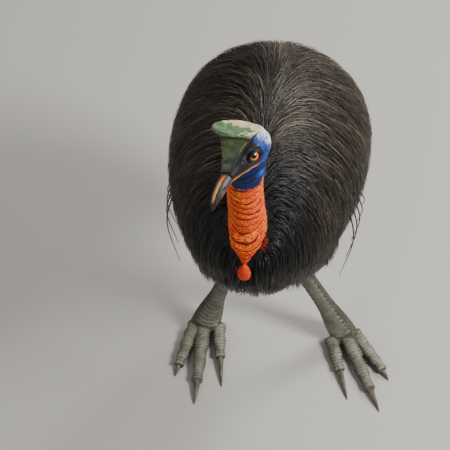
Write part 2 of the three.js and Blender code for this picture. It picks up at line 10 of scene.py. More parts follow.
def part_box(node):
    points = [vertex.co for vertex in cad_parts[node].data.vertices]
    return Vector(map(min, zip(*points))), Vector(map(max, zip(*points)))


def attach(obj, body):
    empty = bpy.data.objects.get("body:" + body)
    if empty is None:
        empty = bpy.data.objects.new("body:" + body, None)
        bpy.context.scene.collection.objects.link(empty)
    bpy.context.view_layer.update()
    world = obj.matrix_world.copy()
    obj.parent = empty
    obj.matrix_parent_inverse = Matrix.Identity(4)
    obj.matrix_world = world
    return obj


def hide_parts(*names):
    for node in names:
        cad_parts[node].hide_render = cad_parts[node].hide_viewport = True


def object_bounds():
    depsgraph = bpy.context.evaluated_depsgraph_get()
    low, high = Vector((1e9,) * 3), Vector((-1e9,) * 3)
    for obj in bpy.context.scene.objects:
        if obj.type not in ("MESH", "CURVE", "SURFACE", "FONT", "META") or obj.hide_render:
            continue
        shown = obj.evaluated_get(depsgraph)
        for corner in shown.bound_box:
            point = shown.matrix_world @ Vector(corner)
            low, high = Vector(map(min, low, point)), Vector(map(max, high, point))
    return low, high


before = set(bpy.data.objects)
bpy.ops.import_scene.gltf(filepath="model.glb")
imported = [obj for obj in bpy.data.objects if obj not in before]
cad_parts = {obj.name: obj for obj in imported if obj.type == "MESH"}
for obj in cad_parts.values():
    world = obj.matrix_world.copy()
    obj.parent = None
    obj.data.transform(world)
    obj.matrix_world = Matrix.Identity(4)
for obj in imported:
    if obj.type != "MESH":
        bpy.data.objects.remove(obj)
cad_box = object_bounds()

# Trunk of the bird: a deep keeled body, breast up and rump down, under a coat that hides it.
# Its hide is the inner half of the coat's depth, where the plumes are rooted.
# It is measured in millimetres by the bird's own axes and then moved into the frame.
centre_mm = np.array([0.0, 0.0, 764.0])
pitch = math.radians(22)
eye_ahead = -3.0
eye_up = 7.0
eye_side = 26.5


def turned_axes(yaw, lean):
    """Axes turned to the bird's right by yaw, 7 degrees bill down, and leaning left side up."""
    turn = Matrix.Rotation(math.radians(-yaw), 3, "Z") @ Matrix.Rotation(math.radians(7), 3, "X")
    return np.array(turn @ Matrix.Rotation(math.radians(-lean), 3, "Y"))


head_centre = np.array([-16.0, -414.0, 1280.0])
head_axes = turned_axes(25, 12)


def on_head(ahead, left, up):
    """A place on the head, in millimetres ahead of the eyes, to the bird's left and up."""
    local = np.stack(np.broadcast_arrays(left, -np.asarray(ahead, float), up), -1)
    return local @ head_axes.T + head_centre


eyes_mid = [sum(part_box("eye_" + side), Vector()) / 2 for side in ("left", "right")]
shift = np.array((eyes_mid[0] + eyes_mid[1]) / 2) - on_head(eye_ahead, 0.0, eye_up) / 1000


def to_frame(points):
    """Millimetres by the bird's own axes to metres in the frame."""
    return np.asarray(points, float) / 1000 + shift


def to_bird(points):
    """Metres in the frame back to millimetres by the bird's own axes."""
    return (np.asarray(points, float) - shift) * 1000


def ease(x, low, high):
    """A smooth step from 0 at low to 1 at high."""
    t = np.clip((np.asarray(x, float) - low) / (high - low), 0, 1)
    return t * t * (3 - 2 * t)


def mix(a, b, t):
    return a + (b - a) * t


def spline(points, t):
    """A centripetal curve through points, or numbers, spaced evenly from 0 to 1."""
    p = np.asarray(points, float)
    flat = p.ndim == 1
    if flat:
        p = p[:, None]
    x = np.clip(np.asarray(t, float), 0, 1) * (len(p) - 1)
    i = np.minimum(x.astype(int), len(p) - 2)
    w = (x - i)[..., None]
    ends = np.vstack([2 * p[0] - p[1], p, 2 * p[-1] - p[-2]])
    p0, p1, p2, p3 = (ends[i + k] for k in range(4))
    d0, d1, d2 = (np.sqrt(np.linalg.norm(gap, axis=-1, keepdims=True)) for gap in (p1 - p0, p2 - p1, p3 - p2))
    d1 = np.where(d1 < 1e-4, 1, d1)
    d0 = np.where(d0 < 1e-4, d1, d0)
    d2 = np.where(d2 < 1e-4, d1, d2)
    m1 = ((p1 - p0) / d0 - (p2 - p0) / (d0 + d1) + (p2 - p1) / d1) * d1
    m2 = ((p2 - p1) / d1 - (p3 - p1) / (d1 + d2) + (p3 - p2) / d2) * d1
    out = p1 + m1 * w + (3 * (p2 - p1) - 2 * m1 - m2) * w**2 + (2 * (p1 - p2) + m1 + m2) * w**3
    return out[..., 0] if flat else out


def on_body(across, along, up):
    y = along * math.cos(pitch) + up * math.sin(pitch)
    z = up * math.cos(pitch) - along * math.sin(pitch)
    return np.stack(np.broadcast_arrays(across, y, z), -1) + centre_mm


def body_point(turn, roll, depth):
    """The trunk's surface, `depth` inside the tips of the coat. turn runs from the breast to the
    rump, 0 to pi, and roll from the back, 0, round the left side to the belly, pi."""
    ring = np.maximum(0, np.sin(turn)) ** 0.9
    ahead = np.cos(turn)
    across = (227 - depth) * ring * (1 - 0.19 * ahead) * np.sin(roll)
    reach = np.where(np.cos(roll) > 0, 248, 218)
    up = (reach - depth) * ring * np.cos(roll) - 95 * ease(-ahead, 0.35, 1.1)
    return on_body(across, -(452 - depth) * ahead, up)


def beside(path, rear, t, angle, reach):
    """A point beside a curve, at a reach from it and an angle from its front."""
    t = np.clip(t, 0, 1)
    before, after = spline(path, t - 1e-3), spline(path, t + 1e-3)
    forward = after - before
    forward /= np.linalg.norm(forward, axis=-1, keepdims=True)
    rear = np.asarray(rear, float)
    front = rear - forward * (forward @ rear)[..., None]
    front /= -np.linalg.norm(front, axis=-1, keepdims=True)
    side = np.cross(forward, front)
    angle = np.asarray(angle)[..., None]
    reach = np.asarray(reach)[..., None]
    return spline(path, t) + front * reach * np.cos(angle) + side * reach * np.sin(angle)


def oval(angle, side, front, back):
    reach = np.where(np.cos(angle) > 0, front, back)
    return 1 / np.hypot(np.cos(angle) / reach, np.sin(angle) / side)


def ball_shell(name, around, rings, place):
    """A closed shell from a UV sphere, moved by place(polar, angle) in millimetres."""
    bm = bmesh.new()
    bmesh.ops.create_uvsphere(bm, u_segments=around, v_segments=rings, radius=1)
    co = np.array([v.co for v in bm.verts])
    polar = np.arccos(np.clip(co[:, 2], -1, 1))
    return shaped(name, bm, place(polar, np.arctan2(co[:, 0], -co[:, 1])))


def shaped(name, bm, places):
    """An object from a bmesh whose vertices go to places in millimetres."""
    for v, p in zip(bm.verts, to_frame(places)):
        v.co = p
    bmesh.ops.recalc_face_normals(bm, faces=bm.faces)
    return finished(name, bm)


def finished(name, bm):
    """An object at the origin made from a bmesh."""
    mesh = bpy.data.meshes.new(name)
    for face in bm.faces:
        face.smooth = True
    bm.to_mesh(mesh)
    bm.free()
    obj = bpy.data.objects.new(name, mesh)
    bpy.context.scene.collection.objects.link(obj)
    return obj


def tube_shell(name, around, rings, place):
    """A closed tube: place(t, angle, share) with t from 0 to 1 and share 0 on its axis."""

    def on_tube(polar, angle):
        ring = np.round(polar / math.pi * (rings + 2))
        share = ((ring > 0) & (ring < rings + 2)).astype(float)
        return place(np.clip((ring - 1) / rings, 0, 1), angle, share)

    return ball_shell(name, around, rings + 2, on_tube)


def modified(obj, kind, **settings):
    """Adds a modifier and applies it."""
    modifier = obj.modifiers.new(kind, kind)
    for key, value in settings.items():
        setattr(modifier, key, value)
    bpy.context.view_layer.update()
    shaped = bpy.data.meshes.new_from_object(obj.evaluated_get(bpy.context.evaluated_depsgraph_get()))
    obj.modifiers.clear()
    old = obj.data
    obj.data = shaped
    bpy.data.meshes.remove(old)
    return obj


def united(name, parts, voxel):
    """Shells melted into one closed surface."""
    bm = bmesh.new()
    for part in parts:
        bm.from_mesh(part.data)
        bpy.data.objects.remove(part)
    obj = finished(name, bm)
    modified(obj, "REMESH", mode="VOXEL", voxel_size=voxel, adaptivity=0, use_smooth_shade=True)
    obj.data.name = name
    return obj


def vertices(obj):
    co = np.empty(len(obj.data.vertices) * 3, np.float32)
    obj.data.vertices.foreach_get("co", co)
    return co.reshape(-1, 3).astype(float)


def normals(obj):
    n = np.empty(len(obj.data.vertices) * 3, np.float32)
    obj.data.vertex_normals.foreach_get("vector", n)
    return n.reshape(-1, 3).astype(float)


def set_vertices(obj, co):
    obj.data.vertices.foreach_set("co", co.astype(np.float32).ravel())
    obj.data.update()


core_depth = 28
thigh_rear = (0, 1, 0.4)
feet = {
    "left": dict(side=1, foot=(205, 76, 34), hock=(50, 104, 304), knee=(110, -15, 520), turn=26),
    "right": dict(side=-1, foot=(-160, 67, 34), hock=(-64, 112, 316), knee=(-110, -10, 530), turn=1),
}


def thigh_path(leg):
    knee, hock = np.array(leg["knee"], float), np.array(leg["hock"], float)
    hip = knee + (-leg["side"] * 20, 35, 90)
    return [hip, knee, mix(knee, hock, 0.5), mix(knee, hock, 0.94)]


def thigh_place(leg, t, angle, depth, share=1.0):
    """The thigh's surface, `depth` inside the tips of its coat."""
    radius = spline([96, 86, 66, 47, 34], t) * (0.92 + 0.08 * np.cos(2 * angle))
    return beside(thigh_path(leg), thigh_rear, t, angle, share * (radius - depth))


shells = [ball_shell("trunk", 96, 72, lambda turn, roll: body_point(turn, roll, core_depth))]
for leg in feet.values():
    shells.append(tube_shell("thigh", 40, 30, lambda t, a, s: thigh_place(leg, t, a, 12, s)))
trunk = united("trunk", shells, 0.0115)

# Head and neck: bare skin over the skull, hung in slack folds down the neck, with a dewlap that
# narrows to one wattle. The skull sits low behind the eyes, and lids stand round the eyes.
# The shells are melted together finely, and the folds, mouth and grain are then pushed in.
neck_path = [(0, -300, 880), (-4, -352, 960), (-8, -378, 1060), (-12, -384, 1160)]
neck_path += [(-10, -386, 1230), (0, -378, 1284), (4, -374, 1316)]


def neck_radius(t, angle):
    return oval(
        angle,
        spline([68, 47, 38, 37, 41, 41, 20], t),
        spline([66, 54, 44, 40, 34, 26, 10], t),
        spline([76, 60, 44, 40, 42, 38, 16], t),
    )


def neck_place(t, angle, share):
    return beside(neck_path, (0, 1, 0), t, angle, share * (neck_radius(t, angle) - 0.5))


def skull_point(t, angle, share, rise=0.0):
    across = spline([26, 41, 42, 38, 29, 20, 14.5], t)
    above, below = spline([10, 25, 32, 30, 24, 16, 10], t), spline([20, 38, 42, 39, 33, 26, 20], t)
    reach = share * oval(angle, across, above, below) + rise
    return on_head(mix(-67, 58, t), reach * np.sin(angle), reach * np.cos(angle))


def dewlap_point(polar, angle):
    down = (1 - np.cos(polar)) / 2
    wide = spline([34, 36, 29, 14, 7], down) * np.sin(polar) * np.sin(angle)
    y = mix(-408, -429, down) - 17 * mix(1, 0.6, down) * np.sin(polar) * np.cos(angle)
    return np.stack([wide - 6, y, mix(1045, 936, down)], -1)


def wattle_point(polar, angle):
    fuller = 1 - 0.28 * np.cos(polar)
    x = 14 * np.sin(polar) * np.sin(angle) * fuller - 6
    y = -433 - 12 * np.sin(polar) * np.cos(angle) * fuller
    return np.stack([x, y, 944 + 24 * (np.cos(polar) - 1)], -1)


eye_forward = math.radians(20)
eye_rise = math.radians(15)


def on_eye(side, forward, out, up):
    """A place by an eye's own axes, which face a little forwards and up: forward, out and up."""
    outward = out * math.cos(eye_rise) - up * math.sin(eye_rise)
    return on_head(
        eye_ahead + forward * math.cos(eye_forward) + outward * math.sin(eye_forward),
        side * (eye_side - forward * math.sin(eye_forward) + outward * math.cos(eye_forward)),
        eye_up + out * math.sin(eye_rise) + up * math.cos(eye_rise),
    )


def by_head(points):
    """How far ahead, left and up places are on the head, as on_head takes them."""
    local = (points - head_centre) @ head_axes
    return -local[:, 1], local[:, 0], local[:, 2]


def by_eye(ahead, left, up):
    """A place on the head by the axes of the eye on its side: forward, out and up."""
    off, past = ahead - eye_ahead, np.abs(left) - eye_side
    outward = past * math.cos(eye_forward) + off * math.sin(eye_forward)
    forward = off * math.cos(eye_forward) - past * math.sin(eye_forward)
    out = outward * math.cos(eye_rise) + (up - eye_up) * math.sin(eye_rise)
    return forward, out, (up - eye_up) * math.cos(eye_rise) - outward * math.sin(eye_rise)


def lid_flat(up):
    """The lids' opening is flatter above the eye, under the brow, than below it."""
    return np.where(up > 0, 0.80, 0.90)


def lid_ring(side):
    """A round lid, hooded above, on one eye."""
    lid_reach = 12.3
    bm = bmesh.new()
    upright = Matrix.Translation((lid_reach, 0, 0)) @ Matrix.Rotation(math.pi / 2, 4, "X")
    bmesh.ops.create_circle(bm, segments=10, radius=2.3, matrix=upright)
    rim = bm.verts[:] + bm.edges[:]
    bmesh.ops.spin(bm, geom=rim, axis=(0, 0, 1), cent=(0, 0, 0), angle=2 * math.pi, steps=48, use_merge=True)
    bmesh.ops.remove_doubles(bm, verts=bm.verts, dist=1e-4)
    co = np.array([v.co for v in bm.verts])
    hood = 1.6 * ease(co[:, 1], 2, 12)
    out = 7.4 + hood + co[:, 2] - 0.3 * (np.hypot(co[:, 0], co[:, 1]) - lid_reach)
    return shaped("lid", bm, on_eye(side, co[:, 0] * 1.1, out, co[:, 1] * lid_flat(co[:, 1])))


skin_parts = [
    tube_shell("neck", 64, 90, neck_place),
    tube_shell("skull", 72, 60, skull_point),
    ball_shell("dewlap", 40, 40, dewlap_point),
    ball_shell("wattle", 32, 24, wattle_point),
    lid_ring(1),
    lid_ring(-1),
]
bare = united("bare_skin", skin_parts, 0.00165)


def noise_at(points, size, seed):
    """Smooth noise from -1 to 1 at points in millimetres, with lumps about `size` across."""
    scaled = points / size + (seed * 17.3, seed * 5.1, seed * 9.7)
    return np.array([noise.noise(p) for p in scaled.tolist()])


def gape_height(ahead):
    """How high the gape runs along the head, from the bill's root back to the mouth's corner."""
    return -9 - 5 * ease(58 - ahead, 0, 20) - 4 * ease(58 - ahead, 30, 70)


def hump(x, width):
    """1 at 0, falling smoothly to either side."""
    return np.exp(-((x / width) ** 2))


def from_jowl(points):
    """How far places are from the middle of the blue lobe below the cheek, in its own radii."""
    return np.linalg.norm((points - (22.0, -404.0, 1217.0)) / (17, 17, 12), axis=1)


p = to_bird(vertices(bare))
n = normals(bare)
ahead, left, up = by_head(p)
neck_front = -(p[:, 1] + 384)
low_sag = mix(3, 27, 1 - ease(p[:, 2], 960, 1150))
sag = low_sag * ease(neck_front, -20, 45) * (1 - (np.abs(p[:, 0] + 8) / 46) ** 2)
wobble = 11 * noise_at(p, 48, 1) + 3.2 * noise_at(p, 14, 2)
fold_phase = (p[:, 2] + sag + wobble) / 17
fold_depth = 0.55 + 0.9 * np.clip(0.5 + 1.3 * noise_at(p, 26, 14), 0, 1)
below_chin = 1 - ease(p[:, 2], 1185, 1215)
fold = np.abs(np.sin(math.pi * fold_phase)) ** 0.55
small_fold = np.abs(np.sin(math.pi * (p[:, 2] + 0.6 * sag + 1.6 * wobble) / 6.3)) ** 0.7
fold_zone = below_chin * ease(p[:, 2], 935, 960)
throat = ease(p[:, 2], 1185, 1210) * (1 - ease(p[:, 2], 1240, 1262)) * (1 - ease(ahead, 20, 45))
throat_fold = np.abs(np.sin(math.pi * (up + 0.35 * ahead + 0.5 * wobble) / 15)) ** 0.6
lump = noise_at(p, 5.5, 3)
wattle_zone = 1 - ease(p[:, 2], 938, 948)
push = fold_zone * (2.6 * fold_depth * (fold - 0.6) + 1.1 * (small_fold - 0.6))
push += throat * 1.8 * (throat_fold - 0.75) + (fold_zone * 0.5 + wattle_zone * 0.8) * lump
push += 6.5 * (1 - ease(from_jowl(p), 0.2, 1.25))
forward, out, eye_height = by_eye(ahead, left, up)
opening = np.hypot(forward / 1.1, eye_height / lid_flat(eye_height))
on_side = ease(np.abs(left), 15, 22)
near_eye = on_side * ease(out, -8, -2)
brow = hump(eye_height - 14.5 - 0.1 * forward, 3.6)
brow *= ease(forward, -26, -10) * (1 - ease(forward, 18, 34))
pouch = hump(opening - 21, 3.0) * (eye_height < 0)
over_gape = up - gape_height(ahead)
gape_zone = ease(ahead, -14, -2) * ease(np.abs(left), 8, 14) * (up < 5)
gape = hump(over_gape, 1.6) * gape_zone
lip = (hump(over_gape - 4.2, 2.4) + hump(over_gape + 4.2, 2.4)) * gape_zone
ear = np.exp(-(((ahead + 33) / 4.5) ** 2) - (((up + 8) / 6) ** 2)) * on_side
cheek = noise_at(p, 13, 4)
head_zone = ease(up, -40, -30) * ease(ahead, -75, -60)
socket = hump(opening - 16.5, 2.6) + 0.6 * hump(opening - 23, 2.2) * (eye_height < 6)
push += near_eye * (2.6 * brow + 1.2 * pouch - 2.6 * socket + 1.6 * hump(opening - 12, 1.8))
push += head_zone * on_side * cheek * ease(opening, 16, 24)
push += -2.6 * gape + 1.7 * lip - 3.2 * ear
nape = ease(p[:, 2], 1215, 1235) * ease(-ahead, 20, 40)
push += nape * 1.2 * (np.abs(np.sin(math.pi * (up + 0.5 * wobble) / 14)) ** 0.6 - 0.75)
p = p + n * push[:, None]
forward, out, eye_height = by_eye(*by_head(p))
under_lids = 11.2
ball_depth = np.sqrt(np.maximum(0, under_lids**2 - forward**2 - eye_height**2))
over_ball = (1 - ease(opening, 9.4, 10.6)) * (out > 0)
sunk = on_eye(np.sign(left), forward, mix(out, np.minimum(out, ball_depth), over_ball), eye_height)
set_vertices(bare, to_frame(np.where(over_ball[:, None] > 0, sunk, p)))


def keep(obj, **marks):
    """Stores named numbers for each vertex, for the materials."""
    for name, values in marks.items():
        layer = obj.data.attributes.new(name, "FLOAT", "POINT")
        layer.data.foreach_set("value", np.asarray(values, np.float32))


# Painted shade: this mask darkens the skin's colour in the folds of the neck and throat, along the gape and
# round the lids' openings, where shade falls.
crease = fold_zone * (1 - ease(fold, 0.25, 0.75)) * fold_depth * 0.8
crease = crease + throat * (1 - ease(throat_fold, 0.35, 0.8)) + gape + near_eye * hump(opening - 10.5, 1.6)
keep(bare, crease=crease + 0.4 * fold_zone * (1 - ease(small_fold, 0.2, 0.6)))

# Shanks and toes: bone and tendon in a tight hide under horny scutes, with a knobby hock, three
# toes to a foot and flat soles. The hide lies a little inside the scutes.
toe_kinds = {
    "middle": dict(length=178, angle=0, start=0, radius=19, joints=3, claw=62, claw_radius=11.5, plates=19),
    "inner": dict(length=98, angle=-8, start=-38, radius=17.5, joints=2, claw=84, claw_radius=11, plates=10),
    "outer": dict(length=135, angle=12, start=24, radius=17.5, joints=4, claw=28, claw_radius=10, plates=13),
}


def shank_path(leg):
    foot, hock = np.array(leg["foot"], float), np.array(leg["hock"], float)
    return [mix(foot, hock, 1.06), hock, mix(hock, foot, 0.55), (foot[0], foot[1], 16)]


def shank_place(leg, t, angle, rise, share=1.0):
    size = spline([22, 27, 23, 20, 19, 19.5, 21, 23, 21], t)
    wide = mix(size, 38, ease(t, 0.7, 0.97))
    reach = share * (oval(angle, wide, size * 1.15, size * 1.15) + rise)
    place = beside(shank_path(leg), (0, 1, 0.1), t, angle, reach)
    place[..., 2] = np.maximum(place[..., 2], 0.3)
    return place


def toe_axes(leg, toe):
    way = math.radians(leg["turn"]) + leg["side"] * math.radians(toe["angle"])
    return np.array((math.sin(way), -math.cos(way), 0)), np.array((math.cos(way), math.sin(way), 0))


def toe_thick(toe, t):
    return toe["radius"] * mix(1.08, 0.74, t)


def toe_spot(leg, toe, share, height):
    turn = math.radians(leg["turn"])
    across = np.array((math.cos(turn), math.sin(turn), 0))
    start = np.array(leg["foot"], float) + across * leg["side"] * toe["start"]
    spot = start + toe_axes(leg, toe)[0] * toe["length"] * np.asarray(share)[..., None]
    spot[..., 2] = height
    return spot


def toe_place(leg, toe, t, angle, rise, share=1.0):
    shares = np.array([0, 1 / 3, 2 / 3, 1])
    path = [toe_spot(leg, toe, s, 0.8 * toe_thick(toe, s)) for s in shares]
    knuckle = 0.07 * np.cos(t * toe["joints"] * 2 * math.pi)
    reach = (toe_thick(toe, t) + toe["radius"] * knuckle) * (1 - 0.25 * ease(t, 0.97, 1)) + rise
    place = beside(path, (0, 0, -1), t, angle, share * reach)
    place[..., 2] = np.maximum(place[..., 2], 0.0)
    return place


leg_shells = []
for leg in feet.values():
    leg_shells.append(tube_shell("shank", 40, 110, lambda t, a, s: shank_place(leg, t, a, -0.6, s)))
    for toe in toe_kinds.values():
        leg_shells.append(tube_shell("toe", 36, 70, lambda t, a, s: toe_place(leg, toe, t, a, -0.5, s)))
hide = united("leg_hide", leg_shells, 0.0030)

# The hide of the whole bird is one surface: trunk, bare skin and legs welded where the coat
# hides their borders.
skin = trunk
for other in (bare, hide):
    modified(skin, "BOOLEAN", operation="UNION", solver="MANIFOLD", object=other)
    bpy.data.objects.remove(other)
skin.name = skin.data.name = "skin"
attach(skin, "root")
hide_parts("torso", "tail", "neck_base", "neck", "wattle", "head", "thigh_left", "thigh_right")
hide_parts(*["shank_" + side for side in feet])
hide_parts(*["toe_" + kind + "_" + side for side in feet for kind in toe_kinds])

# Shader maths for every material: a wire wraps a socket, and Python's operators add its nodes.
# Each material reads places on the object itself and the numbers kept at its vertices.
class Wire:
    """A socket in a material's node tree."""

    def __init__(self, tree, socket):
        self.tree = tree
        self.socket = socket

    def math(self, operation, a, b):
        node = self.tree.nodes.new("ShaderNodeMath")
        node.operation = operation
        for slot, value in zip(node.inputs, (a, b)):
            join(self.tree, value, slot)
        return Wire(self.tree, node.outputs[0])

    def __add__(self, other):
        return self.math("ADD", self, other)

    __radd__ = __add__

    def __sub__(self, other):
        return self.math("SUBTRACT", self, other)

    def __rsub__(self, other):
        return self.math("SUBTRACT", other, self)

    def __mul__(self, other):
        return self.math("MULTIPLY", self, other)

    __rmul__ = __mul__

    def __pow__(self, other):
        return self.math("POWER", self, other)


def join(tree, value, slot):
    """Links a wire to a socket, or sets the socket's own value."""
    if isinstance(value, Wire):
        tree.links.new(value.socket, slot)
    else:
        slot.default_value = value


class Paint:
    """One material, with the values that are the same all over it on its shader's sockets."""

    def __init__(self, name, fixed):
        self.material = bpy.data.materials.new(name)
        self.material.use_nodes = True
        self.tree = self.material.node_tree
        self.shader = self.tree.nodes["Principled BSDF"]
        for socket, value in fixed.items():
            self.shader.inputs[socket].default_value = value
        self.place = self.node("ShaderNodeTexCoord", output="Object")

    def node(self, kind, settings=None, inputs=None, output=0):
        made = self.tree.nodes.new(kind)
        for key, value in (settings or {}).items():
            setattr(made, key, value)
        for key, value in (inputs or {}).items():
            join(self.tree, value, made.inputs[key])
        return Wire(self.tree, made.outputs[output])

    def noise(self, scale, detail):
        sockets = {"Vector": self.place, "Scale": scale, "Detail": detail, "Roughness": 0.55}
        return self.node("ShaderNodeTexNoise", {}, sockets)

    def cells(self, scale, feature="F1"):
        return self.node("ShaderNodeTexVoronoi", {"feature": feature}, {"Vector": self.place, "Scale": scale})

    def attribute(self, name):
        return self.node("ShaderNodeAttribute", {"attribute_name": name}, output="Fac")

    def steps(self, value, low, high):
        """0 below low, 1 above high, smooth between."""
        sockets = {"Value": value, "From Min": low, "From Max": high}
        return self.node("ShaderNodeMapRange", {"interpolation_type": "SMOOTHSTEP"}, sockets)

    def blend(self, a, b, factor):
        a, b = ((*c, 1.0) if isinstance(c, tuple) else c for c in (a, b))
        return self.node("ShaderNodeMix", {"data_type": "RGBA"}, {0: factor, 6: a, 7: b}, 2)

    def mottled(self, low_colour, high_colour, grain, low, high):
        """One colour where the grain is under low, and the other where it is over high."""
        return self.blend(low_colour, high_colour, self.steps(grain, low, high))

    def layered(self, colour, *layers):
        """A colour with others over it, each with an attribute's name or a wire for its share."""
        for over, share in layers:
            colour = self.blend(colour, over, self.attribute(share) if isinstance(share, str) else share)
        return colour

    def bump(self, height, distance, strength):
        return self.node("ShaderNodeBump", {}, {"Height": height, "Distance": distance, "Strength": strength})

    def dress(self, *objects, **surface):
        """Feeds the shader's sockets and puts the material on objects."""
        for key, value in surface.items():
            join(self.tree, value, self.shader.inputs[key.replace("_", " ")])
        for obj in objects:
            obj.data.materials.clear()
            obj.data.materials.append(self.material)


# Colours of the skin: black round the eyes and casque, blue cheeks and throat, a blue nape with a
# whitish painted highlight, an orange front of the neck that reddens to the wattle, and grey legs.
# Under the coat it is dark. Painted shade darkens the folds of the neck, the gape and the lids' rims.
def coat_border(points):
    """How high the coat reaches round the neck: it rises from the breast to the nape."""
    return 938 + 150 * np.clip((points[:, 1] + 430) / 100, 0, 1)


def near_ground(points):
    """1 on the toes, fading up the shank."""
    return 1 - ease(points[:, 2] - 0.18 * (points[:, 1] + 40), 12, 90)


p = to_bird(vertices(skin))
ahead, left, up = by_head(p)
height = p[:, 2]
ragged = 5 * noise_at(p, 9, 5) + 2.5 * noise_at(p, 3.5, 6)
is_bare = ease(height - coat_border(p), -14, -4) * ease(-p[:, 1], 280, 300)
is_bib = ease(-p[:, 1], 403, 409) * (1 - ease(np.abs(p[:, 0] + 6), 34, 40)) * ease(height, 885, 892)
patch = np.linalg.norm((p - (37.0, -385.0, 957.0)) / (18, 22, 24), axis=1) + 0.05 * noise_at(p, 5, 13)
is_patch = 1 - ease(patch, 0.85, 1.0)
is_bare = np.maximum(np.maximum(is_bare, is_bib), is_patch)
_, path_y, path_z = np.transpose(neck_path[:-1])
is_rear = ease(p[:, 1] - np.interp(height, path_z, path_y) + 0.7 * ragged, 14, 22)
is_blue = np.maximum(ease(height - 1181 - 0.15 * (p[:, 1] + 415) - ragged, -2, 2), is_rear) * is_bare
over_gape = up - gape_height(ahead)
forward, out, eye_height = by_eye(ahead, left, up)
eye_reach = np.hypot(forward / 1.2, eye_height)
is_head = ease(up, -45, -38) * is_bare
lores = ease(ahead + 0.8 * ragged + 0.55 * np.clip(up - 8, 0, 40), -17, -7) * ease(over_gape, -3, 2)
mandible = ease(ahead + ragged, 22, 34)
# Painted highlight: the nape behind the eyes is real blue skin, mottled with whitish where light would catch
# it.
is_pale = is_head * ease(-ahead + 0.9 * ragged, 30, 50) * ease(up, -16, 2) * (1 - ease(up, 34, 46))
lip_zone = ease(ahead, -14, 0) * ease(np.abs(left), 7, 12) * is_head * (up < 5)
in_throat = 1 - ease(height + ragged, 1232, 1262)
in_throat = in_throat * ease(from_jowl(p), 0.7, 1.2) * (1 - ease(p[:, 1], -372, -352))
keep(
    skin,
    bare=is_bare,
    blue=is_blue,
    dark=is_head * np.maximum(np.maximum(lores, mandible), 1 - ease(eye_reach + 0.5 * ragged, 16, 21)),
    pale=is_pale,
    lip=lip_zone * np.exp(-(((over_gape - 0.5) / (3.4 + 0.18 * ragged)) ** 4)),
    red=is_bare * np.maximum(1 - ease(height + 3 * ragged, 950, 1010), is_patch),
    leg=1 - ease(height, 330, 350),
    foot=near_ground(p),
    throat=is_blue * in_throat,
)

hide_paint = Paint("bird_skin", {"Specular IOR Level": 0.25})
mark, steps, mottled = hide_paint.attribute, hide_paint.steps, hide_paint.mottled
# Painted shade in the folds, along the gape and round the lids darkens the orange, blue and gape colours
# below.
crease = mark("crease")
grain = hide_paint.noise(260.0, 4.0)
patches = hide_paint.noise(38.0, 3.0)
beads = hide_paint.cells(340.0)
scales = hide_paint.cells(175.0, "DISTANCE_TO_EDGE")
broken = patches * 0.5 + grain * 0.5
yellowness = grain * 0.5 + patches * 0.75 - beads * 0.5
orange = hide_paint.layered(
    mottled((0.80, 0.06, 0.0004), (0.95, 0.23, 0.001), yellowness, 0.34, 0.58),
    ((0.60, 0.015, 0.001), mark("red") * 0.8),
    ((0.30, 0.010, 0.001), steps(beads + grain * 0.6, 0.72, 1.05) * 0.65),
    ((0.11, 0.005, 0.001), steps(crease, 0.12, 0.75)),
)
blue = hide_paint.layered(
    mottled((0.003, 0.016, 0.13), (0.014, 0.085, 0.34), broken, 0.42, 0.62),
    ((0.0015, 0.004, 0.035), mark("throat") * 0.85),
    ((0.002, 0.004, 0.03), steps(crease, 0.2, 0.9)),
)
# The nape: real blue skin mottled with a whitish painted highlight.
nape = mottled((0.04, 0.20, 0.45), (0.60, 0.64, 0.62), broken, 0.40, 0.56)
lores = hide_paint.blend((0.003, 0.003, 0.0035), (0.013, 0.012, 0.012), grain)
lip = mottled((0.50, 0.09, 0.004), (0.62, 0.30, 0.02), grain, 0.4, 0.62)
lip = hide_paint.blend(lip, (0.02, 0.006, 0.004), steps(crease, 0.45, 0.9))
shank = mottled((0.05, 0.054, 0.038), (0.10, 0.098, 0.07), broken, 0.35, 0.65)
toe_tan = mottled((0.10, 0.093, 0.068), (0.19, 0.172, 0.13), grain, 0.35, 0.65)
shank = hide_paint.blend(shank, toe_tan, mark("foot") * 0.75)
shank = hide_paint.blend((0.016, 0.015, 0.012), shank, steps(scales, 0.01, 0.12))
under_coat = (0.010, 0.008, 0.007)
bead_height = (1 - beads) * mark("bare") * (1 - mark("blue") * 0.8) * 1.5
scale_height = steps(scales, 0.0, 0.25) * mark("leg")
bare_colours = (orange, "bare"), (blue, "blue"), (nape, "pale"), (lores, "dark"), (lip, "lip")
hide_paint.dress(
    skin,
    Base_Color=hide_paint.layered(under_coat, *bare_colours, (shank, "leg")),
    Normal=hide_paint.bump(bead_height + grain * 0.5 + scale_height * 1.4, 0.0011, 0.8),
    Roughness=0.46 + grain * 0.16 + crease * 0.1,
)

# Casque: a hollow horny helmet over the brow, a wedge with a flat green front and a blunt sloping
# plate across its top, grown in one. It is worn and blotched, with a dark base and sides. It
# stands a little askew, and its front and plate are turned to the bird's left.
casque_centre = np.array([-18.0, -415.0, 1287.0])
casque_axes = turned_axes(19, 7)
twist, slope, tilt = (math.radians(angle) for angle in (18, 32, 5))
plate_ahead, plate_left, plate_up = -13, -6, 60.5
plate_length, plate_width = 38, 49


def on_casque(ahead, left, up):
    local = np.stack(np.broadcast_arrays(left, -np.asarray(ahead, float), up), -1)
    return local @ casque_axes.T + casque_centre


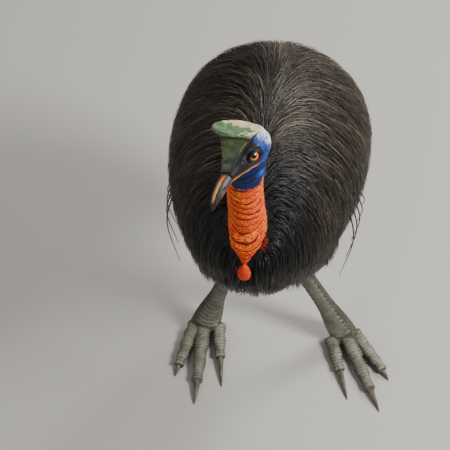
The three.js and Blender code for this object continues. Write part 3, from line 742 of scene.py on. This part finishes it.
def casque_wedge(x, y, z):
    """The wedge for x, y and z from -0.5 to 0.5: left, up and back."""
    corners = ((58, -5, 9.5, 5), (-44, 0, 22, 4), (10, 7, 31, 73), (-42, 0, 31, 42))
    toe, heel, brow_edge, rear = (np.array(c, float) for c in corners)
    rise, back = (y + 0.5)[:, None], (z + 0.5)[:, None]
    ahead, left, half, up = mix(mix(toe, heel, back), mix(brow_edge, rear, back), rise).T
    hollow = 5 * np.sin(math.pi * rise[:, 0])
    across = x * 2 * (half - 0.7 * hollow)
    turned = across * math.tan(twist) * (0.5 - z)
    forward = ahead - hollow * (1 - 4 * x**2) * (z < -0.499) - turned
    level = across * math.tan(tilt) - turned * math.tan(slope)
    return on_casque(forward, left + across, up + level * (y + 0.5))


def casque_plate(x, y, z):
    ring = np.maximum(np.hypot(x, z), 1e-3)
    blunt = ring**0.35 / ring
    long, wide = z * blunt * plate_length, x * blunt * plate_width
    forward = long * math.cos(twist) - wide * math.sin(twist)
    across = wide * math.cos(twist) + long * math.sin(twist)
    rise = y * (6 + 1.6 * ease(ring, 0.75, 0.97)) - 2.2 * (1 - ease(ring, 0.3, 0.95)) * (y > 0)
    return on_casque(
        plate_ahead + forward * math.cos(slope) - rise * math.sin(slope),
        plate_left + across,
        plate_up + forward * math.sin(slope) + rise * math.cos(slope) + across * math.tan(tilt),
    )


bm = bmesh.new()
bmesh.ops.create_cube(bm, size=1)
bmesh.ops.subdivide_edges(bm, edges=bm.edges[:], cuts=24, use_grid_fill=True)
co = np.array([v.co for v in bm.verts])
wedge = shaped("wedge", bm, casque_wedge(co[:, 0], co[:, 1], co[:, 2]))
bm = bmesh.new()
bmesh.ops.create_uvsphere(bm, u_segments=96, v_segments=64, radius=1)
co = np.array([v.co for v in bm.verts])
plate = shaped("plate", bm, casque_plate(co[:, 0], co[:, 2], co[:, 1]))
casque = united("casque_horn", [wedge, plate], 0.0012)


def casque_frame(obj):
    """Each vertex's place and facing by the casque's own axes: ahead, left and up."""
    places, facings = to_bird(vertices(obj)) - casque_centre, normals(obj)
    return [(-y, x, z) for x, y, z in ((vectors @ casque_axes).T for vectors in (places, facings))]


(ahead, left, up), (facing, leftness, skyward) = casque_frame(casque)
p = to_bird(vertices(casque))
n = normals(casque)
worn = 0.7 * noise_at(p, 16, 7) + 0.35 * noise_at(p, 6, 8) + 0.12 * noise_at(p, 2.4, 9)
set_vertices(casque, to_frame(p + n * (0.55 * worn)[:, None]))
height = (up - 5) / (68 - 0.11 * (left - 4))
half_front = np.maximum(mix(9.5, 31, height) - 3.5 * np.sin(math.pi * np.clip(height, 0, 1)), 1)
share = (left - mix(-5, 7, height)) / half_front
blotch = noise_at(p, 9, 10) + 0.5 * noise_at(p, 4, 11)
on_front = ease(facing * math.cos(twist) + leftness * math.sin(twist), 0.42, 0.62)
# Painted shadow: the green front stops short of the plate, leaving the dark base colour as a band under the
# plate's overhang.
on_front *= 1 - ease(height + 0.05 * share**2 + 0.015 * blotch, 0.84, 0.92)
green_front = on_front * ease(0.86 - np.abs(share) + 0.1 * blotch, 0, 0.12)
dark_spot = ease(0.5 - np.abs(height - 0.27) * 4 + 0.35 * blotch, 0.1, 0.3)
rim_line = hump(share - 0.90, 0.09) * ease(height, 0.35, 0.6) + 0.3 * hump(share + 0.95, 0.08)
ahead, left = ahead - plate_ahead, left - plate_left
over_plate = up - plate_up - left * math.tan(tilt)
along = ahead * math.cos(slope) + over_plate * math.sin(slope)
above = over_plate * math.cos(slope) - ahead * math.sin(slope)
length_share = (along * math.cos(twist) + left * math.sin(twist)) / plate_length
width_share = (left * math.cos(twist) - along * math.sin(twist)) / plate_width
is_plate = ease(above, -8, -4.5)
# Painted highlight: where the plate's top faces up it is painted cream in patches set by noise and blotches,
# leaving a green stripe across its front.
cream = 0.7 * width_share - 0.55 * length_share + 0.55 * noise_at(p, 20, 12) + 0.32 * blotch
cream -= 0.35 * hump(length_share - 0.1 - 0.15 * width_share, 0.13) * (1 - ease(width_share, 0.3, 0.8))
edge = is_plate * (1 - ease(skyward, 0.25, 0.55)) * ease(along, -8, 10)
keep(
    casque,
    green=green_front * ease(height + 0.03 * blotch, 0.07, 0.12) * (1 - dark_spot),
    rim=on_front * rim_line * ease(blotch, -0.7, 0.1),
    plate=is_plate,
    cream=is_plate * ease(skyward, 0.35, 0.6) * ease(cream, 0.02, 0.14),
    edge=edge * ease(blotch - 1.1 * width_share, -1.1, -0.3),
)
horn = Paint("casque_horn", {"Specular IOR Level": 0.5})
mottled = horn.mottled
fine = horn.noise(420.0, 5.0)
broad = horn.noise(70.0, 4.0)
worn_broad = broad * 0.6 + fine * 0.4
green = mottled((0.018, 0.036, 0.014), (0.055, 0.085, 0.022), worn_broad, 0.38, 0.62)
plate_green = mottled((0.025, 0.085, 0.035), (0.10, 0.20, 0.075), worn_broad, 0.4, 0.62)
plate_green = horn.blend(plate_green, (0.36, 0.36, 0.19), horn.steps(fine, 0.56, 0.66) * 0.8)
# Cream painted highlight for the plate's upward-facing top.
cream_horn = mottled((0.42, 0.32, 0.15), (0.72, 0.63, 0.40), worn_broad, 0.38, 0.62)
grey_edge = mottled((0.09, 0.12, 0.07), (0.36, 0.34, 0.22), worn_broad, 0.4, 0.62)
rim_yellow = (0.20, 0.19, 0.035)
horn.dress(
    casque,
    Base_Color=horn.layered(
        mottled((0.008, 0.009, 0.007), (0.022, 0.024, 0.017), fine, 0.4, 0.7),
        (green, "green"),
        (rim_yellow, horn.attribute("rim") * 0.8),
        (plate_green, "plate"),
        (grey_edge, "edge"),
        (cream_horn, "cream"),
    ),
    Roughness=0.36 + broad * 0.3,
    Normal=horn.bump(fine * 0.8 + horn.cells(900.0) * 0.3, 0.0006, 0.7),
)
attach(casque, "root")
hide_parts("casque")

# Bill: two horny sheaths with a ridged culmen, slit nostrils half way along and a hooked tip.
# The lower one is shorter and fits under the upper one's edges.
bill_root, mouth_start, mouth_length = 50, 58, 66
bill_sizes = {1: (124, 17.5, 14), -1: (117, 11.5, 12)}


def mouth_line(at):
    """The height of the line between the bill's halves, by the place along the head."""
    return mix(-9, -27, np.clip((at - mouth_start) / mouth_length, 0, 1) ** 2)


def bill_half(name, part):
    """One sheath: the upper for part 1, the lower for part -1."""
    tip, tall, wide = bill_sizes[part]

    def run_of(at):
        return np.clip((at - mouth_start) / (tip - mouth_start), 0, 1)

    def place(t, angle, share):
        at = mix(bill_root, tip, t)
        taper = np.sqrt(np.maximum(0, 1 - 0.97 * run_of(at) ** 2.4))
        top, out = np.cos(angle), np.sin(angle)
        ridge = np.where(top > 0, top * (1 - 0.16 * np.abs(out)), 0.10 * top)
        hook = 4.5 * ease(t, 0.9, 1) if part > 0 else 0
        nostril = np.hypot((at - 88 - 5 * (top - 0.45)) / 8, (top - 0.45) / 0.16)
        pit = 2.2 * (1 - ease(nostril, 0.45, 1.1)) * (part > 0) * (np.abs(out) > 0.5)
        left = share * out * (wide - pit) * taper
        return on_head(at, left, mouth_line(at) - hook + part * (0.5 + share * ridge * tall * taper))

    sheath = tube_shell(name, 96, 140, place)
    places = to_bird(vertices(sheath))
    at, left, up = by_head(places)
    from_mouth = np.abs(up - mouth_line(at))
    taper = np.sqrt(np.maximum(0.03, 1 - 0.97 * run_of(at) ** 2.4))
    crown = from_mouth / tall / taper
    ragged = 0.03 * noise_at(places, 7, 15)
    margin = 2.4 if part > 0 else 3.6
    along_margin = (1 - ease(at, 92, 108)) * ease(ragged, -0.02, 0.004)
    keep(
        sheath,
        culmen=ease(crown + ragged, 0.92, 0.98) * (part > 0) * ease(at, 60, 68),
        margin=(1 - ease(from_mouth, 0.6 * margin, 1.2 * margin)) * along_margin,
        run=run_of(at),
    )
    return sheath


for half, part in (("upper", 1), ("lower", -1)):
    sheath = bill_half("bill_sheath_" + half, part)
    keratin = Paint("bill_sheath_" + half, {"Specular IOR Level": 0.4})
    run = keratin.attribute("run")
    fine = keratin.noise(500.0, 4.0)
    streak = keratin.noise(90.0, 4.0)
    # The culmen: real orange, paler from its middle onwards as a painted highlight, and darker brown at the
    # tip.
    culmen_and_highlight = keratin.mottled((0.58, 0.10, 0.008), (0.70, 0.30, 0.10), run + streak * 0.5, 0.4, 0.85)
    culmen_and_highlight = keratin.blend(culmen_and_highlight, (0.26, 0.06, 0.012), keratin.steps(run + streak * 0.2, 0.9, 1.05))
    bill_colour = keratin.layered(
        keratin.mottled((0.010, 0.009, 0.008), (0.032, 0.027, 0.021), fine, 0.4, 0.7),
        ((0.5, 0.12, 0.02), keratin.attribute("margin") * 0.75),
        ((0.20, 0.12, 0.06), keratin.steps(fine, 0.62, 0.7) * 0.7),
        (culmen_and_highlight, "culmen"),
    )
    bill_grain = keratin.bump(streak * 0.7 + fine * 0.4, 0.0006, 0.6)
    keratin.dress(sheath, Base_Color=bill_colour, Roughness=0.38 + streak * 0.22, Normal=bill_grain)
    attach(sheath, "root")
    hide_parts("bill_" + half)

# Eyes: glass-like balls with an orange-red iris round a large black pupil, set under the lids.
# They look ahead and a little up, at the viewer.
gaze = np.array((0.72, 0.42, 0.52))
eye_radius = 12.4
for name, side in (("left", 1), ("right", -1)):
    eyeball = ball_shell(
        "eyeball_" + name,
        64,
        64,
        lambda polar, angle: on_head(
            eye_ahead + eye_radius * np.sin(polar) * np.cos(angle),
            side * (eye_side + eye_radius * np.cos(polar)),
            eye_up + eye_radius * np.sin(polar) * np.sin(angle),
        ),
    )
    spot = (to_bird(vertices(eyeball)) - on_head(eye_ahead, side * eye_side, eye_up)) @ head_axes
    look = np.array((side * gaze[0], -gaze[1], gaze[2])) / np.linalg.norm(gaze)
    keep(eyeball, away=np.degrees(np.arccos(np.clip(spot @ look / eye_radius, -1, 1))))
    glass = Paint("eye_" + name, {"Roughness": 0.06, "Coat Weight": 1.0, "Coat Roughness": 0.02, "IOR": 1.4})
    off = glass.attribute("away")
    fibres = glass.noise(900.0, 4.0)
    iris = glass.mottled((0.85, 0.22, 0.006), (0.55, 0.035, 0.002), off + fibres * 8.0, 40.0, 62.0)
    iris = glass.mottled(iris, (0.01, 0.004, 0.003), off + fibres * 4.0, 74.0, 80.0)
    iris = glass.mottled((0.002, 0.002, 0.002), iris, off + fibres * 2.0, 29.0, 31.0)
    glass.dress(eyeball, Base_Color=iris)
    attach(eyeball, "root")
    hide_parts("eye_" + name)

# Claws: solid horn, longest on the inner toe, rooted in the toes' ends and blunted by wear.
# Each tapers to a point, with faint ribs along it, and is darker towards its tip.
claw_paint = Paint("claw_horn", {"Specular IOR Level": 0.45})
fine = claw_paint.noise(350.0, 5.0)
broad = claw_paint.noise(60.0, 3.0)
claw_colour = claw_paint.layered(
    claw_paint.mottled((0.045, 0.036, 0.026), (0.13, 0.105, 0.075), broad * 0.5 + fine * 0.5, 0.38, 0.62),
    ((0.035, 0.028, 0.02), claw_paint.steps(claw_paint.attribute("run") + fine * 0.3, 0.75, 1.2) * 0.7),
)
claw_grain = claw_paint.bump(fine * 0.7 + broad, 0.0008, 0.7)
claw_paint.dress(Base_Color=claw_colour, Roughness=0.4 + broad * 0.3, Normal=claw_grain)
for side, leg in feet.items():
    for kind, toe in toe_kinds.items():
        way, across = toe_axes(leg, toe)

        def place(t, angle, share):
            root = toe_spot(leg, toe, 1, 0) + way * (t * (toe["claw"] + 12) - 12)[:, None]
            reach = share * toe["claw_radius"] * (1 - t) ** 0.72 * (1 + 0.06 * np.cos(7 * angle))
            root = root + across * (np.sin(angle) * reach * 0.8)[:, None]
            root[:, 2] = np.maximum(mix(0.62 * toe["radius"], 2.5, t**1.4) + np.cos(angle) * reach, 0.6)
            return root

        claw = tube_shell(f"claw_nail_{kind}_{side}", 48, 60, place)
        spot = (to_bird(vertices(claw)) - toe_spot(leg, toe, 1, 0)) @ way
        keep(claw, run=np.clip(spot / toe["claw"], 0, 1))
        claw_paint.dress(claw)
        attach(claw, "root")
        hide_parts(f"claw_{kind}_{side}")

# Scutes: horny plates that overlap downwards along the front of each shank and the top of each
# toe, thickest at their lower edges.
scute_paint = Paint("leg_scute", {"Specular IOR Level": 0.4})
fine = scute_paint.noise(300.0, 5.0)
broad = scute_paint.noise(45.0, 3.0)
mottle = broad * 0.5 + fine * 0.5
scute_tan = scute_paint.mottled((0.115, 0.106, 0.08), (0.26, 0.235, 0.18), mottle, 0.36, 0.64)
scute_colour = scute_paint.layered(
    scute_paint.mottled((0.055, 0.06, 0.044), (0.125, 0.125, 0.09), mottle, 0.36, 0.64),
    (scute_tan, scute_paint.attribute("foot") * 0.8),
    ((0.02, 0.019, 0.015), scute_paint.attribute("upper_edge") * 0.8),
)
scute_grain = scute_paint.bump(fine * 0.8 + broad * 0.4, 0.0007, 0.7)
scute_paint.dress(Base_Color=scute_colour, Roughness=0.38 + broad * 0.3, Normal=scute_grain)


def scute(place, middle, pitch_along, half_angle, thick):
    """Points of one plate on place(t, angle, rise)."""
    x, y, z = plate_unit.T
    ring = np.maximum(np.hypot(x, y), 1e-3)
    blunt = ring**0.45 / ring
    across, along = x * blunt, y * blunt
    return place(
        middle + along * pitch_along * 0.62,
        across * half_angle,
        0.3 + thick * (0.5 * z + 0.55 * along) - 0.5 * across**4,
    )


bm = bmesh.new()
bmesh.ops.create_uvsphere(bm, u_segments=24, v_segments=8, radius=1)
plate_unit = np.array([v.co for v in bm.verts])
plate_faces = [[v.index for v in face.verts] for face in bm.faces]
bm.free()
for side, leg in feet.items():
    spots = []
    for middle in np.linspace(0.16, 0.93, 27):
        spots.append(scute(lambda t, a, r: shank_place(leg, t, a, r), middle, 0.77 / 26, 1.12, 2.6))
    for toe in toe_kinds.values():
        spacing = 0.85 / (toe["plates"] - 1)
        for middle in np.linspace(0.1, 0.95, toe["plates"]):
            spots.append(scute(lambda t, a, r: toe_place(leg, toe, t, a, r), middle, spacing, 1.2, 2.2))
    mesh = bpy.data.meshes.new("plates")
    per = len(plate_unit)
    faces = [[i + per * k for i in face] for k in range(len(spots)) for face in plate_faces]
    mesh.from_pydata(to_frame(np.concatenate(spots)).tolist(), [], faces)
    bm = bmesh.new()
    bm.from_mesh(mesh)
    bpy.data.meshes.remove(mesh)
    bmesh.ops.recalc_face_normals(bm, faces=bm.faces)
    scutes = finished("scutes_" + side, bm)
    upper_edge = np.tile(1 - ease(plate_unit[:, 1], -0.95, -0.6), len(spots))
    keep(scutes, foot=near_ground(to_bird(vertices(scutes))), upper_edge=upper_edge)
    scute_paint.dress(scutes)
    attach(scutes, "root")

# Wings: only a stub under the plumes, with five bare quills of dark horn that curve down past
# the flank.
quill_paint = Paint("quill_horn", {"Roughness": 0.3, "Specular IOR Level": 0.5})
quill_grain = quill_paint.noise(240.0, 3.0)
quill_colour = quill_paint.mottled((0.008, 0.007, 0.006), (0.05, 0.038, 0.026), quill_grain, 0.4, 0.7)
for name, side in (("left", 1), ("right", -1)):

    def on_flank(turn, roll, depth):
        return body_point(np.float64(turn), np.float64(side * roll), depth)

    def arm(t, angle, share):
        reach = share * 15 * np.sqrt(1 - 0.95 * (2 * t - 1) ** 4)
        return beside(arm_path, (0, 0, -1), t, angle, reach)

    def quill(t, angle, share):
        return beside([root, middle, tip], (side, 0, 0), t, angle, share * mix(2.4, 0.7, t))

    arm_path = [on_flank(1.05, 1.2, 36), on_flank(1.25, 1.4, 26), on_flank(1.5, 1.6, 32)]
    shells = [tube_shell("arm", 24, 24, arm)]
    for share in np.linspace(0, 1, 5):
        root = on_flank(mix(1.2, 1.45, share), mix(1.4, 1.58, share), 20)
        quill_length = mix(290, 190, share)
        middle = root + (side * mix(34, 26, share), mix(-22, 30, share), -quill_length * 0.45)
        tip = root + (side * mix(8, 20, share), mix(-20, 90, share), -quill_length)
        shells.append(tube_shell("quill", 12, 60, quill))
    bm = bmesh.new()
    for shell in shells:
        bm.from_mesh(shell.data)
        bpy.data.objects.remove(shell)
    quills = finished("wing_quills_" + name, bm)
    quill_paint.dress(quills, Base_Color=quill_colour)
    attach(quills, "root")
    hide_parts("wing_" + name)

# Plumage: long, drooping, hair-like plumes, black-brown and glossy, parted along the back. Each
# strand is a thin tapered blade rooted in the hide, and strands lean together in clumps towards
# their tips. Finer ones ruff the neck, and bristles dot the face.
plume_draw = np.random.default_rng(11)
draw = plume_draw.uniform
bends = 4


def unit(v):
    return v / np.maximum(np.linalg.norm(v, axis=-1, keepdims=True), 1e-9)


def straight_down(u, v):
    return np.zeros(len(u)), np.zeros(len(u))


def lie_down(surface, u, v, length, root, tip, stray, end, heading=straight_down, side=math.inf):
    """Lines of strands over surface(u, v, depth), as places and outward directions. Each starts
    `root` deep and rises to `tip`. heading(u, v) turns its run from u towards v and pulls it
    down. Past `end` in u, or `side` in v, it leaves the surface and falls."""
    first_v, small = v, 0.01
    step = length / bends
    down = np.array((0.0, 0.0, -1.0))
    places, outs = [], []
    for i in range(bends + 1):
        depth = mix(root, tip, 1 - (1 - i / bends) ** 1.7)
        here = surface(u, v, depth)
        out = unit(surface(u, v, depth - 1) - here)
        along_u = surface(u + small, v, depth) - here
        along_v = surface(u, v + small, depth) - here
        to_u, to_v = unit(along_u), unit(along_v)
        turned, pull = heading(u, v)
        turned = turned + stray
        want = to_u * np.cos(turned)[:, None] + to_v * np.sin(turned)[:, None]
        want = unit(want * (1 - pull)[:, None] + (down - out * (out @ down)[:, None]) * pull[:, None])
        if i == 0:
            place, run, loose = here, want, np.zeros(len(u), bool)
        else:
            falling = unit(run + (0, 0, -0.34))
            place = np.where(loose[:, None], place + falling * step[:, None], here)
            run = np.where(loose[:, None], falling, want)
        loose = loose | (u > end) | ((np.abs(first_v) < side + 0.05) & (np.abs(v) > side))
        size_u = np.maximum(np.linalg.norm(along_u, axis=-1), 20 * small)
        size_v = np.maximum(np.linalg.norm(along_v, axis=-1), 20 * small)
        cross = np.sum(to_u * to_v, -1)
        du, dv = np.sum(want * to_u, -1), np.sum(want * to_v, -1)
        skew = np.maximum(1 - cross**2, 0.05)
        u = u + step * small * (du - cross * dv) / skew / size_u
        v = v + step * small * (dv - cross * du) / skew / size_v
        places.append(place)
        outs.append(out)
    return np.stack(places, 1), np.stack(outs, 1)


def gathered(places, centres, centre_of, pull):
    """Draws each strand's line towards its clump's line, most at the tips."""
    share = (np.linspace(0, 1, places.shape[1]) ** 1.3)[None, :, None] * pull[:, None, None]
    goal = centres[centre_of]
    return mix(places, goal + (places - goal) * 0.25, share)


def nearest(points, centres):
    tree = KDTree(len(centres))
    for i, c in enumerate(centres):
        tree.insert(c, i)
    tree.balance()
    return np.array([tree.find(q)[1] for q in points])


def behind_bib(places):
    """Strands' lines kept behind the dewlap and wattle."""
    half_width = mix(21, 42, ease(places[..., 2], 940, 1040))
    over = (np.abs(places[..., 0] + 6) < half_width) & (places[..., 2] > 886)
    places[..., 1] = np.where(over, np.maximum(places[..., 1], -397), places[..., 1])
    return places


def strand_mesh(name, places, outs, half, patch):
    """Tapered three-sided blades along lines of places, with their roots' patches in OFBake."""
    count, rings = places.shape[:2]
    run = unit(np.gradient(places, axis=1))
    side = unit(np.cross(run, outs))
    out = np.cross(side, run)
    profile = np.interp(np.linspace(0, 1, rings), [0, 0.25, 0.7, 1], [0.7, 1, 0.75, 0.0])
    size = half[:, None, None] * profile[None, :, None]
    low = places - out * size * 0.2
    corners = np.stack([low + side * size, places + out * size * 0.6, low - side * size], 2)
    co = np.concatenate([corners[:, :-1].reshape(count, -1, 3), places[:, -1:]], 1)
    per = co.shape[1]
    bands = rings - 2
    ring_of = [(3 * r + c, 3 * r + (c + 1) % 3) for r in range(bands + 1) for c in range(3)]
    quads = np.array([(a, b, b + 3, a + 3) for a, b in ring_of[: 3 * bands]])
    tips = np.array([(a, b, per - 1) for a, b in ring_of[3 * bands :]] + [(2, 1, 0)])
    base = np.arange(count)[:, None, None] * per
    loops = np.concatenate([(quads + base).reshape(count, -1), (tips + base).reshape(count, -1)], 1)
    mesh = bpy.data.meshes.new(name)
    mesh.vertices.add(count * per)
    mesh.vertices.foreach_set("co", to_frame(co.reshape(-1, 3)).astype(np.float32).ravel())
    mesh.loops.add(loops.size)
    mesh.loops.foreach_set("vertex_index", loops.ravel().astype(np.int32))
    sizes = np.tile([4] * len(quads) + [3] * len(tips), count)
    mesh.polygons.add(len(sizes))
    mesh.polygons.foreach_set("loop_start", np.concatenate([[0], np.cumsum(sizes)[:-1]]).astype(np.int32))
    mesh.update(calc_edges=True)
    mesh.polygons.foreach_set("use_smooth", np.ones(len(sizes), bool))
    obj = bpy.data.objects.new(name, mesh)
    bpy.context.scene.collection.objects.link(obj)
    ring = np.arange(per) // 3
    keep(obj, along=np.tile(ring / bends, count))
    spot = np.stack([ring / bends, (np.arange(per) % 3) / 2], -1) - 0.5
    uv = patch[:, None, :] + spot[None] * 0.003
    layer = mesh.uv_layers.new(name="OFBake")
    layer.data.foreach_set("uv", uv.reshape(-1, 2)[loops.ravel()].astype(np.float32).ravel())
    return obj


plume = Paint("plume", {"Roughness": 0.4, "Specular IOR Level": 0.5})
plume_colour = plume.layered(
    (0.007, 0.0055, 0.004),
    ((0.27, 0.21, 0.145), plume.attribute("tone") ** 1.7),
    ((0.005, 0.004, 0.0035), "black"),
    ((0.012, 0.009, 0.007), plume.attribute("along") ** 2 * 0.5),
)
plume.dress(Base_Color=plume_colour)


def coat_piece(name, lines, outs, half, tone, *spot):
    """One joined mesh of strands, each with a patch in OFBake by its root's place, and its own black and tone
    marks.
    """
    spot = np.stack(spot, -1)
    low, high = spot.min(0), spot.max(0)
    coat = strand_mesh(name, behind_bib(lines), outs, half, 0.02 + 0.96 * (spot - low) / (high - low))
    per = len(coat.data.vertices) // len(lines)
    from_neck = np.linalg.norm(lines[:, 0] - (0, -330, 930), axis=1)
    black = 1 - ease(from_neck + plume_draw.normal(0, 8, len(lines)), 108, 160)
    keep(coat, black=np.repeat(black, per), tone=np.repeat(tone, per))
    plume.dress(coat)
    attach(coat, "root")


def body_heading(u, v):
    away = np.abs(v)
    belly = ease(away, 2.1, 2.9)
    parted = np.tanh(v / 0.1) * (0.25 + 1.05 * ease(away, 0.0, 0.55))
    return parted * (1 - belly) * ease(u, 0.0, 0.5), 0.75 * ease(away, 0.7, 1.5) * (1 - belly)


def body_roots(count):
    """Random places on the trunk, even by area but sparser below, and none within the neck."""
    turn = np.arccos(draw(-1, 1, count * 5))
    roll = draw(-math.pi, math.pi, count * 5)
    here = body_point(turn, roll, core_depth)
    du = body_point(turn + 0.01, roll, core_depth) - here
    dv = body_point(turn, roll + 0.01, core_depth) - here
    area = np.linalg.norm(np.cross(du, dv), axis=-1) / np.maximum(np.sin(turn), 0.02)
    want = area * (1 - 0.45 * ease(np.abs(roll), 2.2, 2.9)) * (1 + 0.8 * np.exp(-((roll / 0.2) ** 2)))
    want *= 1 + 0.7 * ease(turn, 2.5, 2.9)
    want[np.hypot(here[:, 0], here[:, 1] + 320) + 2 * np.abs(here[:, 2] - 915) < 62] = 0
    chosen = draw(0, 1, len(turn)) < want / np.quantile(want, 0.98)
    return turn[chosen][:count], roll[chosen][:count]


def body_length(turn, roll):
    back_length = mix(75, 145, ease(turn, 0.2, 1.1)) * (1 + 0.35 * ease(turn, 1.9, 2.6))
    return back_length * (1 - 0.3 * ease(np.abs(roll), 2.2, 2.8))


body_run = {"end": 2.68, "heading": body_heading, "side": 1.95}
turn, roll = body_roots(50000)
clump_turn, clump_roll = body_roots(3600)
clumps, _ = lie_down(
    body_point,
    clump_turn,
    clump_roll,
    body_length(clump_turn, clump_roll),
    29.0,
    draw(-6, 10, len(clump_turn)),
    plume_draw.normal(0, 0.1, len(clump_turn)),
    **body_run,
)
clump_of = nearest(body_point(turn, roll, core_depth), body_point(clump_turn, clump_roll, core_depth))
lines, outs = lie_down(
    body_point,
    turn,
    roll,
    body_length(turn, roll) * draw(0.7, 1.15, len(turn)),
    30.0,
    draw(-7, 14, len(turn)),
    plume_draw.normal(0, 0.14, len(turn)),
    **body_run,
)
lines = gathered(lines, clumps, clump_of, draw(0.2, 0.75, len(turn)))
lines[..., 1] -= 0.7 * np.maximum(lines[..., 1] - to_bird(cad_box[1])[1], 0)
half = draw(0.75, 1.25, len(turn))
clump_tone = plume_draw.normal(0, 0.16, len(clump_turn))[clump_of]
tone = np.clip(plume_draw.normal(0.3, 0.26, len(turn)) + clump_tone, 0, 1)
order = np.argsort(roll)
for number, part in enumerate(np.array_split(order, 6), 1):
    chosen = (values[part] for values in (lines, outs, half, tone, turn, roll))
    coat_piece(f"plumage_body_{number}", *chosen)


def neck_ruff(u, v, depth):
    return beside(neck_path, (0, 1, 0), 1 - u, v, neck_radius(1 - u, v) + 14 - depth)


rows, angle = draw(0.5, 0.98, 14000), draw(-math.pi, math.pi, 14000)
root = neck_ruff(rows, angle, 15.0)
border = coat_border(root) + plume_draw.normal(0, 3, len(rows))
off_patch = np.linalg.norm((root - (37.0, -385.0, 967.0)) / (19, 24, 32), axis=1) > 1
ruffed = (root[:, 2] < border) & off_patch
rows, angle = rows[ruffed][:5200], angle[ruffed][:5200]
lines, outs = lie_down(
    neck_ruff,
    rows,
    angle,
    draw(42, 72, len(rows)),
    15.0,
    draw(-2, 9, len(rows)),
    plume_draw.normal(0, 0.16, len(rows)),
    0.93,
)
half = draw(0.55, 0.95, len(rows))
tone = np.clip(plume_draw.normal(0.15, 0.15, len(rows)), 0, 1)
coat_piece("plumage_neck", lines, outs, half, tone, rows, angle)

for name, leg in feet.items():
    rows, angle = draw(0.12, 0.92, 3300), draw(-math.pi, math.pi, 3300)
    lines, outs = lie_down(
        lambda u, v, depth: thigh_place(leg, np.clip(u, 0, 1), v, depth),
        rows,
        angle,
        draw(65, 105, len(rows)),
        13.5,
        draw(-3, 7, len(rows)),
        plume_draw.normal(0, 0.16, len(rows)),
        0.9,
    )
    half = draw(0.7, 1.15, len(rows))
    tone = np.clip(plume_draw.normal(0.2, 0.2, len(rows)), 0, 1)
    coat_piece("plumage_thigh_" + name, lines, outs, half, tone, rows, angle)

rows, angle = draw(0.42, 0.97, 300), draw(0.5, 2.3, 300)
angle *= np.sign(draw(-1, 1, len(rows)))
lines, outs = lie_down(
    lambda u, v, depth: skull_point(1 - np.clip(u, 0, 1), v, 1.0, -depth),
    rows,
    angle,
    draw(7, 15, len(rows)),
    1.5,
    draw(-4, -1.5, len(rows)),
    plume_draw.normal(0, 0.3, len(rows)),
    0.97,
)
coat_piece("plumage_face", lines, outs, np.full(len(rows), 0.3), rows * 0, rows, angle)

# Pale studio floor, soft lights and the camera, which looks down on the bird from its front.
# The camera stands 5 m from the body's middle, a little to the bird's left.
bm = bmesh.new()
bmesh.ops.create_grid(bm, x_segments=1, y_segments=1, size=12)
floor = finished("floor", bm)
Paint("floor", {"Base Color": (0.42, 0.40, 0.36, 1.0), "Roughness": 0.85}).dress(floor)
target = Vector(to_frame((0, 0, 760)))
elevation, azimuth, distance = math.radians(50), math.radians(5), 5.0
level = math.cos(elevation)
back = Vector((math.sin(azimuth) * level, -math.cos(azimuth) * level, math.sin(elevation)))
rightward = Vector((math.cos(azimuth), math.sin(azimuth), 0))
upward = back.cross(rightward)
camera_data = bpy.data.cameras.new("camera")
camera_data.sensor_width = 36
focal_pixels, picture_pixels = 2177.8, 450
camera_data.lens = camera_data.sensor_width * focal_pixels / picture_pixels
camera = bpy.data.objects.new("camera", camera_data)
bpy.context.scene.collection.objects.link(camera)
camera.location = target + back * distance
aim = target - rightward * 0.0941 - upward * 0.1400
camera.rotation_euler = (aim - camera.location).to_track_quat("-Z", "Y").to_euler()
bpy.context.scene.camera = camera
world = bpy.data.worlds.new("world")
bpy.context.scene.world = world
world.use_nodes = True
sky = world.node_tree.nodes["Background"].inputs
sky["Color"].default_value = (1, 1, 1, 1)
sky["Strength"].default_value = 0.35
lamps = (((2.4, -0.8, 3.0), 0.9, 175), ((-2.0, -3.0, 2.4), 2.0, 35), ((1.6, 2.8, 3.2), 1.4, 150))
for spot, width, watts in lamps:
    light_data = bpy.data.lights.new("lamp", "AREA")
    light_data.size = width
    light_data.energy = watts
    lamp = bpy.data.objects.new("lamp", light_data)
    bpy.context.scene.collection.objects.link(lamp)
    lamp.location = spot
    lamp.rotation_euler = (Vector((0, 0, 0.7)) - lamp.location).to_track_quat("-Z", "Y").to_euler()
